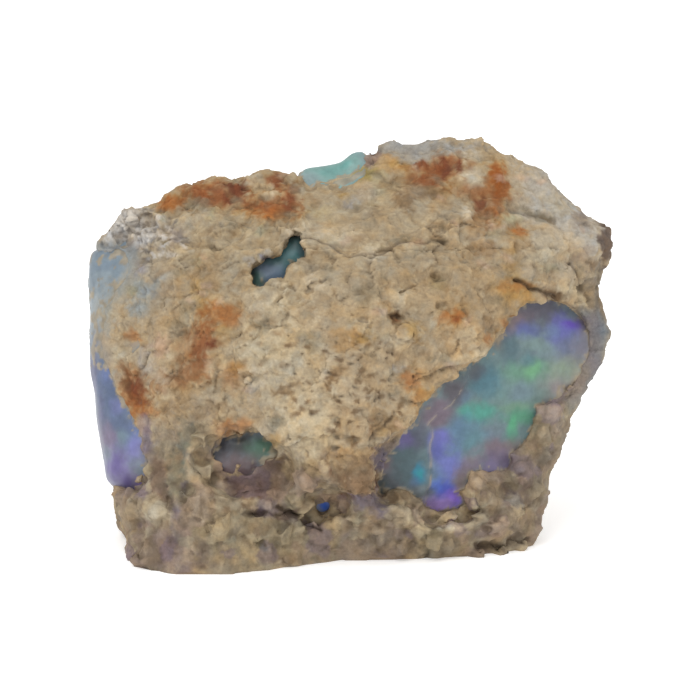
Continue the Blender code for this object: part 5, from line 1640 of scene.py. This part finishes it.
def noise_in(material, scale, detail, roughness):
    """Noise that is fixed to the body, with this many bumps to the metre."""
    place = add_node(material, "ShaderNodeTexCoord").outputs["Object"]
    noise = add_node(
        material, "ShaderNodeTexNoise", {"Vector": place},
        Scale=scale, Detail=detail, Roughness=roughness,
    )
    return noise.outputs["Fac"]


def speckled(material, colour, noise, darkest, lightest):
    """The colour, made darker and lighter by noise."""
    span = add_node(
        material, "ShaderNodeMapRange", {"Value": noise},
        From_Min=0.3, From_Max=0.7, To_Min=darkest, To_Max=lightest,
    )
    links = {"Color": colour, "Value": span.outputs["Result"]}
    return add_node(material, "ShaderNodeHueSaturation", links).outputs["Color"]


def surface(material, colour, noise, bump, roughness, ior, **others):
    """The material's surface: its colour, a bump from noise, its gloss and its refraction."""
    strength, height = bump
    tilt = add_node(
        material, "ShaderNodeBump", {"Height": noise}, Strength=strength, Distance=height * MM
    )
    shader = add_node(
        material, "ShaderNodeBsdfPrincipled",
        {"Base Color": colour, "Normal": tilt.outputs["Normal"]},
        Roughness=roughness, IOR=ior, **others,
    )
    add_node(material, "ShaderNodeOutputMaterial", {"Surface": shader.outputs["BSDF"]})


# %% [markdown]
# ## Material of the host rock
#
# Weathered ironstone and claystone with sand in it, dull as dry earth. Specks a quarter of a
# millimetre across break its colour, and finer sand gives the bump. It has next to no shine.

# %% Material of the host rock
rock_look = new_material("host_rock_stained")
speck_noise = noise_in(rock_look, 3800.0, 4.0, 0.65)
rock_colour = speckled(rock_look, stored(rock_look, "mineral"), speck_noise, 0.86, 1.13)
sand_noise = noise_in(rock_look, 5200.0, 5.0, 0.6)
surface(rock_look, rock_colour, sand_noise, (0.55, 0.12), 0.88, 1.5, Specular_IOR_Level=0.25)
rock.data.materials.append(rock_look)

# %% [markdown]
# ## Material of the opal
#
# Opal is hydrated silica glass with a refractive index of 1.45. Its break is satin, smooth enough
# to catch a soft highlight. A pale line, the vein, runs along the edge of the flake.

# %% Material of the opal
VEIN_PALE = (*linear("b5a899"), 1.0)

opal_look = new_material("precious_opal_satin")
thread_noise = noise_in(opal_look, 1500.0, 3.0, 0.6)
opal_colour = speckled(opal_look, stored(opal_look, "fire"), thread_noise, 0.88, 1.14)
pale_vein = add_node(
    opal_look, "ShaderNodeMix", {"Factor": stored(opal_look, "vein", "Fac"), "A": opal_colour},
    data_type="RGBA",
)
pale_vein.inputs["B"].default_value = VEIN_PALE
satin_noise = noise_in(opal_look, 2500.0, 4.0, 0.5)
surface(opal_look, pale_vein.outputs["Result"], satin_noise, (0.25, 0.06), 0.38, 1.45)
opal.data.materials.append(opal_look)

# %% [markdown]
# ## Floor, light and camera
#
# A white table under wide, soft light, as stones are shown for a catalogue. The camera stands
# far off with a long lens and looks square on to the leaning seam.

# %% Floor, light and camera
FRAME_WIDTH = 60.2 * MM  # how much of the seam's plane the picture takes in
CAMERA_REACH = 0.8
LOOK_AT = to_world(np.array([0.0, 19.4, -4.0]))
WHITE, PAPER_WHITE = (1.0, 1.0, 1.0, 1.0), (0.92, 0.92, 0.92, 1.0)
PAPER_GLOW, SKY = 0.3, 0.95

bpy.ops.mesh.primitive_plane_add(size=6.0, location=(0.0, 0.0, 0.0))
floor = bpy.context.active_object
floor.name = "table"
paper = new_material("white_paper")
paper_shader = add_node(
    paper, "ShaderNodeBsdfPrincipled", Roughness=0.9, Base_Color=PAPER_WHITE,
    Emission_Color=WHITE, Emission_Strength=PAPER_GLOW,
)
add_node(paper, "ShaderNodeOutputMaterial", {"Surface": paper_shader.outputs["BSDF"]})
floor.data.materials.append(paper)

world = bpy.data.worlds.new("white_studio")
world.use_nodes = True
bpy.context.scene.world = world
background = world.node_tree.nodes["Background"]
background.inputs["Color"].default_value = WHITE
background.inputs["Strength"].default_value = SKY


def soft_light(name, place, size, power):
    """A square area light that looks at the stone."""
    bpy.ops.object.light_add(type="AREA", location=place)
    light = bpy.context.active_object
    light.name = name
    light.data.size = size
    light.data.energy = power
    aim = Vector(LOOK_AT) - Vector(place)
    light.rotation_euler = aim.to_track_quat("-Z", "Y").to_euler()


soft_light("key", (-0.15, -0.35, 0.6), 0.4, 1.6)

bpy.ops.object.camera_add(
    location=LOOK_AT - INTO_STONE * CAMERA_REACH, rotation=(math.pi / 2 - LEAN, 0.0, 0.0)
)
camera = bpy.context.active_object
camera.data.sensor_width = 36.0
camera.data.lens = camera.data.sensor_width * CAMERA_REACH / FRAME_WIDTH
camera.data.clip_start = 0.01
camera.data.clip_end = 20.0
bpy.context.scene.camera = camera
bpy.context.scene.view_settings.view_transform = "Standard"
bpy.context.scene.view_settings.look = "None"

# %% [markdown]
# ## Hand over
#
# Both bodies ride on the frame's one body and stand for their solids, which are hidden.

# %% Hand over
for piece, node, slot in ((rock, "matrix", "host_rock"), (opal, "opal", "precious_opal")):
    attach(piece, "root")
    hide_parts(node)
